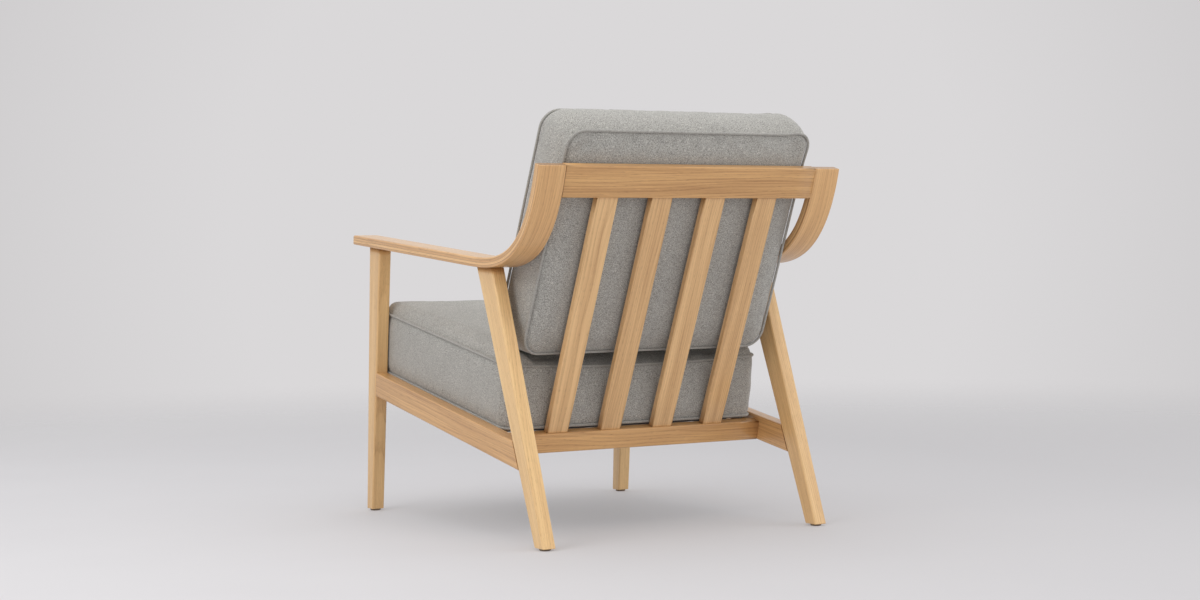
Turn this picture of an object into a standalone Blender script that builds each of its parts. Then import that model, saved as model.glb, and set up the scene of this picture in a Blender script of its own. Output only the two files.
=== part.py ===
# Oak armchair with bent-laminated arms, slatted back and two loose box
# cushions.  Metres, +Z up, the chair faces -Y, +X is the sitter's left.
# The origin is on the floor, under the middle of the chair's outline.
#
# Timber members are lofted between rounded sections.  Tenons are stepped
# sections at the ends of a member, and mortises are boolean cuts with a
# clearance all round, so every member stays a separate solid.

import bpy
import bmesh
from math import sin, cos, tan, radians, pi, sqrt
from mathutils import Vector, Matrix

for _o in list(bpy.data.objects):
    bpy.data.objects.remove(_o, do_unlink=True)

# ---------------------------------------------------------------- dimensions
GAP = 0.0003                    # clearance between touching pieces

# arms: one bent lamination each, flat over the legs, then up to the top rail
ARM_X_OUT = 0.340               # outer face
ARM_X_IN = 0.282                # inner face
ARM_T = 0.020                   # thickness
ARM_Y_FRONT = -0.4229           # front end, underside
ARM_Z_FRONT = 0.5769
ARM_SLOPE = radians(4.91)       # the flat part falls towards the back
ARM_BEND_Y = 0.1178             # the bend starts here
ARM_HANDLE_1 = 0.1261           # bend tightness at its start
ARM_HANDLE_2 = 0.2410           # and at its end
ARM_RAKE = radians(12.0)        # lean of the upright at the end of the curve
ARM_END = (0.4309, 0.7445)      # end of the bend curve (y, z), above the cut
ARM_TOP_Z = 0.7124              # the upright is cut off here, rear edge
ARM_R = 0.0028                  # edge rounding

# legs, tapered in depth towards the floor, set in the middle of the arms
LEG_X_OUT = 0.324
LEG_X_IN = 0.296
LEG_R = 0.0030
FOOT_Z = 0.0038                 # underside of the timber, above the glide
FRONT_LEG_FRONT = (-0.4054, 0.0566)     # y at the floor, slope dy/dz
FRONT_LEG_REAR = (-0.3778, 0.1029)
REAR_LEG_FRONT = (0.3566, -0.4238)
REAR_LEG_REAR = (0.3907, -0.3661)

# seat plane: top of the side rails
SEAT_SLOPE = radians(9.40)
SEAT_Z0 = 0.2426                # height of the plane at y = 0
RAIL_H = 0.050
RAIL_R = 0.0028
RAIL_TENON_L = 0.018

FRONT_RAIL_Y = (-0.386, -0.362)
FRONT_RAIL_Z0 = 0.2480                  # underside
FRONT_RAIL_DROP = 0.0140                # top edge below the seat plane, to clear the cushion
FRONT_TENON_YZ = (-0.3820, -0.3730, 0.2540, 0.2850)

REAR_RAIL_EDGE = (0.1968, 0.1993)       # rear top edge (y, z)
REAR_RAIL_TILT = radians(14.0)
REAR_RAIL_T = 0.026
REAR_RAIL_H = 0.040

# back: four flat slats between the rear seat rail and the top rail
SLAT_RAKE = radians(24.3)
SLAT_REAR = (0.1930, 0.2000)    # a point on the slats' rear plane (y, z)
SLAT_T = 0.014
SLAT_W = 0.0478
SLAT_PITCH = 0.1206
SLAT_R = 0.0022
TOP_RAIL_Z = 0.6536             # underside, rear edge

# seat webbing
STRAP_W = 0.060
STRAP_T = 0.0025
STRAP_S = (-0.270, -0.150, -0.030, 0.090)   # centres along the seat plane
STRAP_N = -0.0150               # centre line, below the rails' top plane
STRAP_SAG = 0.0020
KERF_ANGLE = radians(20)        # the kerfs in the rails' inner faces slope down
KERF_L, KERF_H = 0.0152, 0.0054
CLIP_L, CLIP_H, CLIP_T = 0.0138, 0.0048, 0.0008

# seat cushion, in the seat plane (x, s towards the rear, n upwards)
SEAT_HALF_W = 0.2918
SEAT_S = (-0.4115, 0.1800)
SEAT_N = (-0.0020, 0.1238)
SEAT_CROWN_TOP = 0.0245
SEAT_CROWN_BOTTOM = 0.0108
SEAT_CORNER_R = 0.030

# back cushion, in the back plane (x, a up the rake, d forwards)
BACK_HALF_W_LOW = 0.2765
BACK_HALF_W_TOP = 0.2720
BACK_A = (0.1575, 0.6195)
BACK_D = (0.0340, 0.1430)
BACK_CROWN_REAR = 0.0113
BACK_CROWN_FRONT = 0.0280
BACK_BOTTOM_DROP = 0.0280       # the front seam hangs lower and meets the seat
BACK_CORNER_R = 0.036

FABRIC_T = 0.0012
PIPING_R = 0.0032
PIPING_SEAT = 0.0040            # chamfer of the cover that the piping lies on

GLIDE_T = 0.0035
GLIDE_R = 0.0110

# ---------------------------------------------------------------- materials
def material(name, rgb, rough, metal=0.0):
    m = bpy.data.materials.new(name)
    m.use_nodes = True
    b = m.node_tree.nodes["Principled BSDF"]
    b.inputs["Base Color"].default_value = (rgb[0], rgb[1], rgb[2], 1.0)
    b.inputs["Roughness"].default_value = rough
    b.inputs["Metallic"].default_value = metal
    m.diffuse_color = (rgb[0], rgb[1], rgb[2], 1.0)
    return m

OAK = (0.60, 0.40, 0.22)
OAK_LIGHT = (0.66, 0.46, 0.27)
BEECH = (0.62, 0.45, 0.29)
FABRIC = (0.36, 0.35, 0.34)
PIPING = (0.16, 0.155, 0.15)
FOAM = (0.82, 0.79, 0.70)
WEBBING = (0.02, 0.02, 0.022)
STEEL = (0.55, 0.55, 0.56)
PLASTIC = (0.05, 0.05, 0.05)
ZIP = (0.10, 0.10, 0.10)

# ---------------------------------------------------------------- helpers
def add_object(name, bm, mat, smooth=True, guide=False):
    bmesh.ops.remove_doubles(bm, verts=bm.verts, dist=1e-7)
    bmesh.ops.recalc_face_normals(bm, faces=bm.faces)
    me = bpy.data.meshes.new(name)
    bm.to_mesh(me)
    bm.free()
    ob = bpy.data.objects.new(name, me)
    bpy.context.scene.collection.objects.link(ob)
    if guide:
        ob.hide_render = True
        ob.display_type = "WIRE"
        ob.hide_set(True)
    else:
        me.materials.append(mat)
        if smooth:
            me.shade_smooth()
            me.set_sharp_from_angle(angle=radians(38))
    return ob


def loft(bm, sections, close=False):
    """Skin equal-length closed sections; cap both ends unless close."""
    rings = [[bm.verts.new(p) for p in s] for s in sections]
    n = len(rings[0])
    pairs = list(zip(rings[:-1], rings[1:]))
    if close:
        pairs.append((rings[-1], rings[0]))
    for a, b in pairs:
        for i in range(n):
            j = (i + 1) % n
            bm.faces.new((a[i], a[j], b[j], b[i]))
    if not close:
        bm.faces.new(list(reversed(rings[0])))
        bm.faces.new(rings[-1])


def rounded_quad(corners, r, seg=3):
    """Four corners -> closed outline whose corners are arcs of radius r."""
    out = []
    for i in range(4):
        c = Vector(corners[i])
        u = (Vector(corners[i - 1]) - c).normalized()
        v = (Vector(corners[(i + 1) % 4]) - c).normalized()
        for k in range(seg + 1):
            q = k / seg * pi / 2
            out.append(c + u * r * (1 - sin(q)) + v * r * (1 - cos(q)))
    return out


def box_bm(bm, p0, ex, ey, ez, lo, hi):
    """Box in the frame (p0; ex, ey, ez) from lo to hi."""
    c = []
    for k in (lo[2], hi[2]):
        for (i, j) in ((lo[0], lo[1]), (hi[0], lo[1]), (hi[0], hi[1]), (lo[0], hi[1])):
            c.append(bm.verts.new(p0 + ex * i + ey * j + ez * k))
    f = ((3, 2, 1, 0), (4, 5, 6, 7), (0, 1, 5, 4), (1, 2, 6, 5), (2, 3, 7, 6), (3, 0, 4, 7))
    for q in f:
        bm.faces.new([c[i] for i in q])


def cylinder_bm(bm, p0, axis, side, r, a0, a1, seg=12):
    up = axis.cross(side)
    loft(bm, [[p0 + axis * a + side * (r * cos(2 * pi * i / seg)) + up * (r * sin(2 * pi * i / seg))
               for i in range(seg)] for a in (a0, a1)])


def cut(target, bm_cutter, name):
    """One boolean difference with a hidden cutter of separate bodies."""
    c = add_object(name, bm_cutter, None, guide=True)
    m = target.modifiers.new("cut_" + name, "BOOLEAN")
    m.operation = "DIFFERENCE"
    m.solver = "EXACT"
    m.object = c
    return c


def join_to(target, bm_add, name):
    c = add_object(name, bm_add, None, guide=True)
    m = target.modifiers.new("add_" + name, "BOOLEAN")
    m.operation = "UNION"
    m.solver = "EXACT"
    m.object = c
    return c


def meet(p, d, q, e):
    """Where the 2-D lines p + t d and q + u e cross."""
    det = d[0] * e[1] - d[1] * e[0]
    t = ((q[0] - p[0]) * e[1] - (q[1] - p[1]) * e[0]) / det
    return (p[0] + d[0] * t, p[1] + d[1] * t)


def v3(x, yz):
    return Vector((x, yz[0], yz[1]))


EX, EY, EZ = Vector((1, 0, 0)), Vector((0, 1, 0)), Vector((0, 0, 1))
SIDES = (("left", 1), ("right", -1))

# ---------------------------------------------------------------- arm curve
def arm_rear(t):
    """Underside / rear profile: t in 0..1 is the flat part, 1..2 the bend."""
    y1, z1 = ARM_BEND_Y, ARM_Z_FRONT - tan(ARM_SLOPE) * (ARM_BEND_Y - ARM_Y_FRONT)
    if t <= 1.0:
        return Vector((ARM_Y_FRONT + (y1 - ARM_Y_FRONT) * t, ARM_Z_FRONT + (z1 - ARM_Z_FRONT) * t))
    s = t - 1.0
    p0 = Vector((y1, z1))
    p1 = p0 + Vector((cos(ARM_SLOPE), -sin(ARM_SLOPE))) * ARM_HANDLE_1
    p3 = Vector(ARM_END)
    p2 = p3 - Vector((sin(ARM_RAKE), cos(ARM_RAKE))) * ARM_HANDLE_2
    return p0 * (1 - s) ** 3 + p1 * (3 * (1 - s) ** 2 * s) + p2 * (3 * (1 - s) * s * s) + p3 * s ** 3


def arm_normal(t):
    """Unit normal of the rear profile, towards the sitter."""
    e = 1e-4
    d = (arm_rear(t + e) - arm_rear(max(t - e, 0.0))).normalized()
    return Vector((-d[1], d[0]))


def arm_t_at_z(z):
    lo, hi = 1.3, 2.0
    for _ in range(50):
        mid = (lo + hi) / 2
        if arm_rear(mid)[1] < z:
            lo = mid
        else:
            hi = mid
    return lo


ARM_T_TOP = arm_t_at_z(ARM_TOP_Z)


def arm_section(t, x0, x1, inset=0.0, r=ARM_R, seg=2):
    a, n = arm_rear(t), arm_normal(t)
    lo = a + n * inset
    hi = a + n * (ARM_T - inset)
    return rounded_quad([v3(x0 + inset, lo), v3(x1 - inset, lo), v3(x1 - inset, hi), v3(x0 + inset, hi)], max(r - inset, 0.0006), seg)


def build_arm(name, side):
    x0, x1 = sorted((side * ARM_X_IN, side * ARM_X_OUT))
    length = (arm_rear(1.0) - arm_rear(0.0)).length
    bend = [1.0 + (ARM_T_TOP - 1.0) * i / 24 for i in range(25)]
    ts = [0.0, 0.0016 / length, 0.35, 0.7] + bend
    secs = []
    for k, t in enumerate(ts):
        secs.append(arm_section(t, x0, x1, inset=0.0014 if k == 0 else 0.0))
    # eased top end
    a, n = arm_rear(ARM_T_TOP), arm_normal(ARM_T_TOP)
    up = Vector((n[1], -n[0])) * 0.0014
    lo, hi = a + n * 0.0014 + up, a + n * (ARM_T - 0.0014) + up
    secs[-1] = arm_section(ARM_T_TOP - 0.0014 / 0.30, x0, x1)
    secs.append(rounded_quad([v3(x0 + 0.0014, lo - up), v3(x1 - 0.0014, lo - up), v3(x1 - 0.0014, hi - up), v3(x0 + 0.0014, hi - up)], 0.0014, 2))
    bm = bmesh.new()
    loft(bm, secs)
    return add_object(name, bm, material(name, OAK, 0.45))


# tenons on the leg tops, in the frame of the arm's underside
LEG_TENON = (0.007, 0.015, 0.0120)      # half width, half depth, height


def under_arm_frame(y):
    """Point on the underside at y, and the axes along it and up from it."""
    lo, hi = 0.0, 1.6
    for _ in range(50):
        mid = (lo + hi) / 2
        if arm_rear(mid)[0] < y:
            lo = mid
        else:
            hi = mid
    a, n = arm_rear(lo), arm_normal(lo)
    return Vector((0, a[0], a[1])), Vector((0, n[1], -n[0])), Vector((0, n[0], n[1]))


FRONT_TENON_Y, REAR_TENON_Y = -0.3500, 0.1660

# ---------------------------------------------------------------- leg lines
def leg_line(c):
    return (c[0], 0.0), (c[1], 1.0)


def leg_y(c, z):
    return c[0] + c[1] * z


def seat_point(x, s, n):
    return Vector((x, s * cos(SEAT_SLOPE) + n * sin(SEAT_SLOPE), SEAT_Z0 - s * sin(SEAT_SLOPE) + n * cos(SEAT_SLOPE)))


SEAT_ES = Vector((0, cos(SEAT_SLOPE), -sin(SEAT_SLOPE)))
SEAT_EN = Vector((0, sin(SEAT_SLOPE), cos(SEAT_SLOPE)))


def rail_line(n):
    p = seat_point(0, 0, n)
    return (p.y, p.z), (SEAT_ES.y, SEAT_ES.z)


def shifted(c, off):
    """A leg face line moved along y."""
    return (c[0] + off, c[1])


def on_rail(n, c, off=0.0):
    p, d = rail_line(n)
    q, e = leg_line(shifted(c, off))
    return meet(p, d, q, e)


RAIL_TENON_N = (-0.011, -0.039)
RAIL_TENON_X = (0.305, 0.315)


def rail_end(c, off, shift, grow=0.0):
    """Tenon outline corners in (y, z) on a leg face, moved along the rail."""
    top = on_rail(RAIL_TENON_N[0] + grow, c, off)
    bot = on_rail(RAIL_TENON_N[1] - grow, c, off)
    d = Vector((SEAT_ES.y, SEAT_ES.z)) * shift
    return (top[0] + d[0], top[1] + d[1]), (bot[0] + d[0], bot[1] + d[1])


def rail_tenon_cutter(bm, side, c, direction):
    """Mortise for a side rail's tenon; direction -1 is forwards."""
    x0, x1 = sorted((side * (RAIL_TENON_X[0] - GAP), side * (RAIL_TENON_X[1] + GAP)))
    t0, b0 = rail_end(c, 0.0, -direction * 0.004, GAP)
    t1, b1 = rail_end(c, 0.0, direction * (RAIL_TENON_L + 0.0006), GAP)
    loft(bm, [[v3(x0, b0), v3(x1, b0), v3(x1, t0), v3(x0, t0)], [v3(x0, b1), v3(x1, b1), v3(x1, t1), v3(x0, t1)]])


# ---------------------------------------------------------------- build: arms
arms = {}
for word, side in SIDES:
    arms[side] = build_arm(word + "_arm", side)
    bm = bmesh.new()
    for y in (FRONT_TENON_Y, REAR_TENON_Y):
        p, along, up = under_arm_frame(y)
        p = p + EX * side * (LEG_X_IN + LEG_X_OUT) / 2
        w, d, h = LEG_TENON
        box_bm(bm, p, EX, along, up, (-w - GAP, -d - GAP, -0.004), (w + GAP, d + GAP, h + GAP))
    # mortise for the top rail
    t0, t1 = arm_t_at_z(TOP_RAIL_Z), ARM_T_TOP
    a, b = arm_rear(t0), arm_rear(t1)
    u = (b - a).normalized()
    nrm = Vector((-u[1], u[0]))
    p0 = Vector((side * ARM_X_IN, a[0], a[1]))
    box_bm(bm, p0, EX * side, Vector((0, u[0], u[1])), Vector((0, nrm[0], nrm[1])),
           (-0.004, 0.010 - GAP, 0.006 - GAP), (0.0166, 0.050 + GAP, 0.014 + GAP))
    cut(arms[side], bm, word + "_arm_mortises")

TR_A = arm_rear(arm_t_at_z(TOP_RAIL_Z))
TR_B = arm_rear(ARM_T_TOP)
TR_U = (TR_B - TR_A).normalized()
TR_N = Vector((-TR_U[1], TR_U[0]))
TR_H = (TR_B - TR_A).length

# ---------------------------------------------------------------- build: legs
def leg_corners(x0, x1, f, r):
    return [v3(x0, f), v3(x1, f), v3(x1, r), v3(x0, r)]


def glide_hole(bm, x, y):
    cylinder_bm(bm, Vector((x, y, 0)), EZ, EX, 0.0033, -0.01, 0.0170, 12)


FRONT_FOOT_Y = (leg_y(FRONT_LEG_FRONT, FOOT_Z) + leg_y(FRONT_LEG_REAR, FOOT_Z)) / 2
REAR_FOOT_Y = (leg_y(REAR_LEG_FRONT, FOOT_Z) + leg_y(REAR_LEG_REAR, FOOT_Z)) / 2

for word, side in SIDES:
    x0, x1 = sorted((side * LEG_X_IN, side * LEG_X_OUT))
    xm = (x0 + x1) / 2
    # front leg: straight shoulder under the flat part of the arm
    under = (ARM_Y_FRONT, ARM_Z_FRONT - GAP), (cos(ARM_SLOPE), -sin(ARM_SLOPE))
    ft = meet(*leg_line(FRONT_LEG_FRONT), *under)
    rt = meet(*leg_line(FRONT_LEG_REAR), *under)
    secs = []
    for z, ins in ((FOOT_Z, 0.0015), (FOOT_Z + 0.0015, 0.0)):
        f, r = (leg_y(FRONT_LEG_FRONT, z) + ins, z), (leg_y(FRONT_LEG_REAR, z) - ins, z)
        secs.append(rounded_quad(leg_corners(x0 + ins, x1 - ins, f, r), LEG_R - ins))
    secs.append(rounded_quad(leg_corners(x0, x1, ft, rt), LEG_R))
    p, along, up = under_arm_frame(FRONT_TENON_Y)
    p = p + EX * xm
    w, d, h = LEG_TENON
    for lift in (-GAP, h - GAP):
        secs.append(rounded_quad([p + up * lift - EX * w - along * d, p + up * lift + EX * w - along * d,
                                  p + up * lift + EX * w + along * d, p + up * lift - EX * w + along * d], 0.0008))
    bm = bmesh.new()
    loft(bm, secs)
    leg = add_object("front_%s_leg" % word, bm, material("front_%s_leg" % word, OAK_LIGHT, 0.45))
    bm = bmesh.new()
    rail_tenon_cutter(bm, side, FRONT_LEG_REAR, -1)
    box_bm(bm, Vector((side * LEG_X_IN, 0, 0)), EX * side, EY, EZ,
           (-0.004, FRONT_TENON_YZ[0] - GAP, FRONT_TENON_YZ[2] - GAP), (0.0166, FRONT_TENON_YZ[1] + GAP, FRONT_TENON_YZ[3] + GAP))
    glide_hole(bm, xm, FRONT_FOOT_Y)
    cut(leg, bm, "front_%s_leg_mortises" % word)

    # rear leg: its shoulder follows the start of the arm's bend
    secs = []
    for z, ins in ((FOOT_Z, 0.0015), (FOOT_Z + 0.0015, 0.0), (0.560, 0.0)):
        f, r = (leg_y(REAR_LEG_FRONT, z) + ins, z), (leg_y(REAR_LEG_REAR, z) - ins, z)
        secs.append(rounded_quad(leg_corners(x0 + ins, x1 - ins, f, r), LEG_R - ins))
    bm = bmesh.new()
    loft(bm, secs)
    leg = add_object("rear_%s_leg" % word, bm, material("rear_%s_leg" % word, OAK_LIGHT, 0.45))
    bm = bmesh.new()
    prof = []
    for i in range(11):
        t = 0.9 + 0.5 * i / 10
        a = arm_rear(t) - arm_normal(t) * GAP
        prof.append((a[0], a[1]))
    prof += [(prof[-1][0], 0.62), (prof[0][0], 0.62)]
    loft(bm, [[v3(x0 - 0.01, q) for q in prof], [v3(x1 + 0.01, q) for q in prof]])
    rail_tenon_cutter(bm, side, REAR_LEG_FRONT, 1)
    glide_hole(bm, xm, REAR_FOOT_Y)
    cut(leg, bm, "rear_%s_leg_cuts" % word)
    p, along, up = under_arm_frame(REAR_TENON_Y)
    bm = bmesh.new()
    box_bm(bm, p + EX * xm, EX, along, up, (-w, -d, -0.012), (w, d, h - GAP))
    join_to(leg, bm, "rear_%s_leg_tenon" % word)

    # glides: turned plastic pads with a pin pressed up into the foot
    for pos, y in (("front", FRONT_FOOT_Y), ("rear", REAR_FOOT_Y)):
        bm = bmesh.new()
        seg = 14
        prof = [(GLIDE_R - 0.0012, 0.0), (GLIDE_R, 0.0010), (GLIDE_R, GLIDE_T), (0.0030, GLIDE_T), (0.0030, 0.0150), (0.0020, 0.0165)]
        loft(bm, [[Vector((xm + r * cos(2 * pi * i / seg), y + r * sin(2 * pi * i / seg), z)) for i in range(seg)] for r, z in prof])
        add_object("%s_%s_glide" % (pos, word), bm, material("%s_%s_glide" % (pos, word), PLASTIC, 0.5))

# ---------------------------------------------------------------- seat frame
RR_O = Vector(REAR_RAIL_EDGE)
RR_U = Vector((-cos(REAR_RAIL_TILT), sin(REAR_RAIL_TILT)))     # forwards
RR_V = Vector((-sin(REAR_RAIL_TILT), -cos(REAR_RAIL_TILT)))    # down


def rr(u, v):
    return RR_O + RR_U * u + RR_V * v


BLOCK_H = 0.022
BLOCK_SCREW_Y = 0.0437
BLOCK_SCREW_X = 0.0407
BLOCK_POLY = ((0.0, 0.0), (0.0, 0.0567), (0.010, 0.0567), (0.0557, 0.010), (0.0557, 0.0))
SCREW_R, SCREW_HEAD_R, SCREW_HEAD_H = 0.0020, 0.0038, 0.0030
SCREW_IN = 0.0160


def block_frame(pos, side):
    """Corner block frame: origin in the corner, x inwards, y along the side rail."""
    if pos == "front":
        return Vector((side * (LEG_X_IN - GAP), FRONT_RAIL_Y[1] + GAP, FRONT_RAIL_Z0 + 0.0060)), EX * -side, EY, EZ
    o = rr(REAR_RAIL_T + GAP, REAR_RAIL_H - 0.002)
    return (Vector((side * (LEG_X_IN - GAP), o[0], o[1])), EX * -side,
            Vector((0, RR_U[0], RR_U[1])), Vector((0, -RR_V[0], -RR_V[1])))


def screw_frames(pos, side):
    """(start point on the counterbore floor, direction of drive) of both screws."""
    o, bx, by, bz = block_frame(pos, side)
    zc = BLOCK_H / 2
    return ((o + bx * 0.0190 + by * BLOCK_SCREW_Y + bz * zc, -bx, bz),
            (o + bx * BLOCK_SCREW_X + by * 0.0216 + bz * zc, -by, bz))


def kerf(u, w):
    """Point (x, n) at depth u in a kerf and height w off its centre line."""
    return (LEG_X_IN + u * cos(KERF_ANGLE) + w * sin(KERF_ANGLE), STRAP_N - u * sin(KERF_ANGLE) + w * cos(KERF_ANGLE))


for word, side in SIDES:
    # side rail with a stepped tenon at each end
    x0, x1 = sorted((side * LEG_X_IN, side * LEG_X_OUT))
    tx0, tx1 = sorted((side * RAIL_TENON_X[0], side * RAIL_TENON_X[1]))

    def shoulder(c, off):
        t, b = on_rail(0.0, c, off), on_rail(-RAIL_H, c, off)
        return rounded_quad([v3(x0, b), v3(x1, b), v3(x1, t), v3(x0, t)], RAIL_R)

    def tenon(c, off, shift):
        t, b = rail_end(c, off, shift)
        return rounded_quad([v3(tx0, b), v3(tx1, b), v3(tx1, t), v3(tx0, t)], 0.0008)

    bm = bmesh.new()
    loft(bm, [tenon(FRONT_LEG_REAR, GAP, -RAIL_TENON_L), tenon(FRONT_LEG_REAR, GAP, 0.0), shoulder(FRONT_LEG_REAR, GAP),
              shoulder(REAR_LEG_FRONT, -GAP), tenon(REAR_LEG_FRONT, -GAP, 0.0), tenon(REAR_LEG_FRONT, -GAP, RAIL_TENON_L)])
    rail = add_object(word + "_side_rail", bm, material(word + "_side_rail", OAK, 0.45))
    bm = bmesh.new()
    # rear rail mortise
    o = rr(0.0, 0.0)
    box_bm(bm, Vector((side * LEG_X_IN, o[0], o[1])), EX * side, Vector((0, RR_U[0], RR_U[1])), Vector((0, RR_V[0], RR_V[1])),
           (-0.004, 0.008 - GAP, 0.007 - GAP), (0.0146, 0.018 + GAP, 0.033 + GAP))
    # pilot holes of the corner block screws
    for pos in ("front", "rear"):
        p, d, up = screw_frames(pos, side)[0]
        cylinder_bm(bm, p, d, up, SCREW_R + GAP, 0.010, 0.0190 + GAP + SCREW_IN + 0.0005, 8)
    cut(rail, bm, word + "_side_rail_mortises")
    # sloping kerfs in the inner face, one for each strap's clip
    bm = bmesh.new()
    for st in STRAP_S:
        half = STRAP_W / 2 + 0.001
        prof = [kerf(-0.004, -KERF_H / 2), kerf(KERF_L, -KERF_H / 2), kerf(KERF_L, KERF_H / 2), kerf(-0.004, KERF_H / 2)]
        loft(bm, [[seat_point(side * x, st + e, n) for x, n in prof] for e in (-half, half)])
    cut(rail, bm, word + "_side_rail_slots")


def x_beam(bm, body, tenon_c, x_body, x_tenon, r):
    """Beam along X: body section and tenon section as (y, z) corners."""
    def sec(cs, x, rad):
        return rounded_quad([v3(x, c) for c in cs], rad)
    loft(bm, [sec(tenon_c, -x_tenon, 0.0008), sec(tenon_c, -x_body, 0.0008), sec(body, -x_body, r),
              sec(body, x_body, r), sec(tenon_c, x_body, 0.0008), sec(tenon_c, x_tenon, 0.0008)])

# front rail
bm = bmesh.new()
y0, y1 = FRONT_RAIL_Y
z0 = FRONT_RAIL_Z0
ty0, ty1, tz0, tz1 = FRONT_TENON_YZ
zf, zr = [SEAT_Z0 - tan(SEAT_SLOPE) * y - FRONT_RAIL_DROP for y in (y0, y1)]
x_beam(bm, [(y0, z0), (y1, z0), (y1, zr), (y0, zf)], [(ty0, tz0), (ty1, tz0), (ty1, tz1), (ty0, tz1)],
       LEG_X_IN - GAP, LEG_X_IN + 0.0160, RAIL_R)
front_rail = add_object("front_seat_rail", bm, material("front_seat_rail", OAK, 0.45))
bm = bmesh.new()
for side in (1, -1):
    p, d, up = screw_frames("front", side)[1]
    cylinder_bm(bm, p, d, up, SCREW_R + GAP, 0.010, 0.0216 + GAP + SCREW_IN + 0.0005, 8)
cut(front_rail, bm, "front_rail_pilots")

# slat geometry, in the side view
SL_T = Vector((sin(SLAT_RAKE), cos(SLAT_RAKE)))
SL_M = Vector((-cos(SLAT_RAKE), sin(SLAT_RAKE)))               # forwards
SL_O = Vector(SLAT_REAR)
SLAT_TENON = (0.003, 0.011)                                     # through the thickness
SLAT_TENON_L = 0.0140
SLAT_X = [SLAT_PITCH * k for k in (1.5, 0.5, -0.5, -1.5)]


def on_slat(d, q, e):
    """Point of the slat line at depth d on the line q + u e."""
    p = SL_O + SL_M * d
    return Vector(meet(p, SL_T, q, e))


def low(d, lift=GAP):
    return on_slat(d, RR_O - RR_V * lift, RR_U)


def high(d, drop=GAP):
    return on_slat(d, TR_A - TR_U * drop, TR_N)


def slat_mortise(bm, x, top):
    hw = SLAT_W / 2 - 0.003 + GAP
    d0, d1 = SLAT_TENON[0] - GAP, SLAT_TENON[1] + GAP
    if top:
        a0, a1 = high(d0, 0.004), high(d1, 0.004)
        b0, b1 = high(d0, 0.0) + SL_T * (SLAT_TENON_L + 0.0006), high(d1, 0.0) + SL_T * (SLAT_TENON_L + 0.0006)
    else:
        a0, a1 = low(d0, 0.004), low(d1, 0.004)
        b0, b1 = low(d0, 0.0) - SL_T * (SLAT_TENON_L + 0.0006), low(d1, 0.0) - SL_T * (SLAT_TENON_L + 0.0006)
    loft(bm, [[v3(x - hw, a0), v3(x + hw, a0), v3(x + hw, a1), v3(x - hw, a1)],
              [v3(x - hw, b0), v3(x + hw, b0), v3(x + hw, b1), v3(x - hw, b1)]])


# rear rail
bm = bmesh.new()
x_beam(bm, [rr(0, 0), rr(REAR_RAIL_T, 0), rr(REAR_RAIL_T, REAR_RAIL_H), rr(0, REAR_RAIL_H)],
       [rr(0.008, 0.007), rr(0.018, 0.007), rr(0.018, 0.033), rr(0.008, 0.033)], LEG_X_IN - GAP, LEG_X_IN + 0.0140, 0.0032)
rear_rail = add_object("rear_seat_rail", bm, material("rear_seat_rail", OAK, 0.45))
bm = bmesh.new()
for x in SLAT_X:
    slat_mortise(bm, x, False)
for side in (1, -1):
    p, d, up = screw_frames("rear", side)[1]
    cylinder_bm(bm, p, d, up, SCREW_R + GAP, 0.010, 0.0216 + GAP + SCREW_IN + 0.0005, 8)
cut(rear_rail, bm, "rear_rail_mortises")

# top rail, its rear face flush with the arms' rear faces
def tr(u, n):
    return TR_A + TR_U * u + TR_N * n


bm = bmesh.new()
x_beam(bm, [tr(0, 0), tr(0, ARM_T), tr(TR_H, ARM_T), tr(TR_H, 0)],
       [tr(0.010, 0.006), tr(0.010, 0.014), tr(0.050, 0.014), tr(0.050, 0.006)], ARM_X_IN - GAP, ARM_X_IN + 0.0160, 0.0025)
top_rail = add_object("top_rail", bm, material("top_rail", OAK, 0.45))
bm = bmesh.new()
for x in SLAT_X:
    slat_mortise(bm, x, True)
cut(top_rail, bm, "top_rail_mortises")

# slats
for k, x in enumerate(SLAT_X):
    hw, tw = SLAT_W / 2, SLAT_W / 2 - 0.003
    d0, d1 = SLAT_TENON

    def body(f0, f1):
        return rounded_quad([v3(x - hw, f0), v3(x + hw, f0), v3(x + hw, f1), v3(x - hw, f1)], SLAT_R)

    def tongue(f0, f1):
        return rounded_quad([v3(x - tw, f0), v3(x + tw, f0), v3(x + tw, f1), v3(x - tw, f1)], 0.0008)

    run = SL_T * SLAT_TENON_L
    bm = bmesh.new()
    loft(bm, [tongue(low(d0) - run, low(d1) - run), tongue(low(d0), low(d1)), body(low(0), low(SLAT_T)),
              body(high(0), high(SLAT_T)), tongue(high(d0), high(d1)), tongue(high(d0) + run, high(d1) + run)])
    add_object("back_slat_%d" % (k + 1), bm, material("back_slat_%d" % (k + 1), OAK, 0.45))

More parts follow.
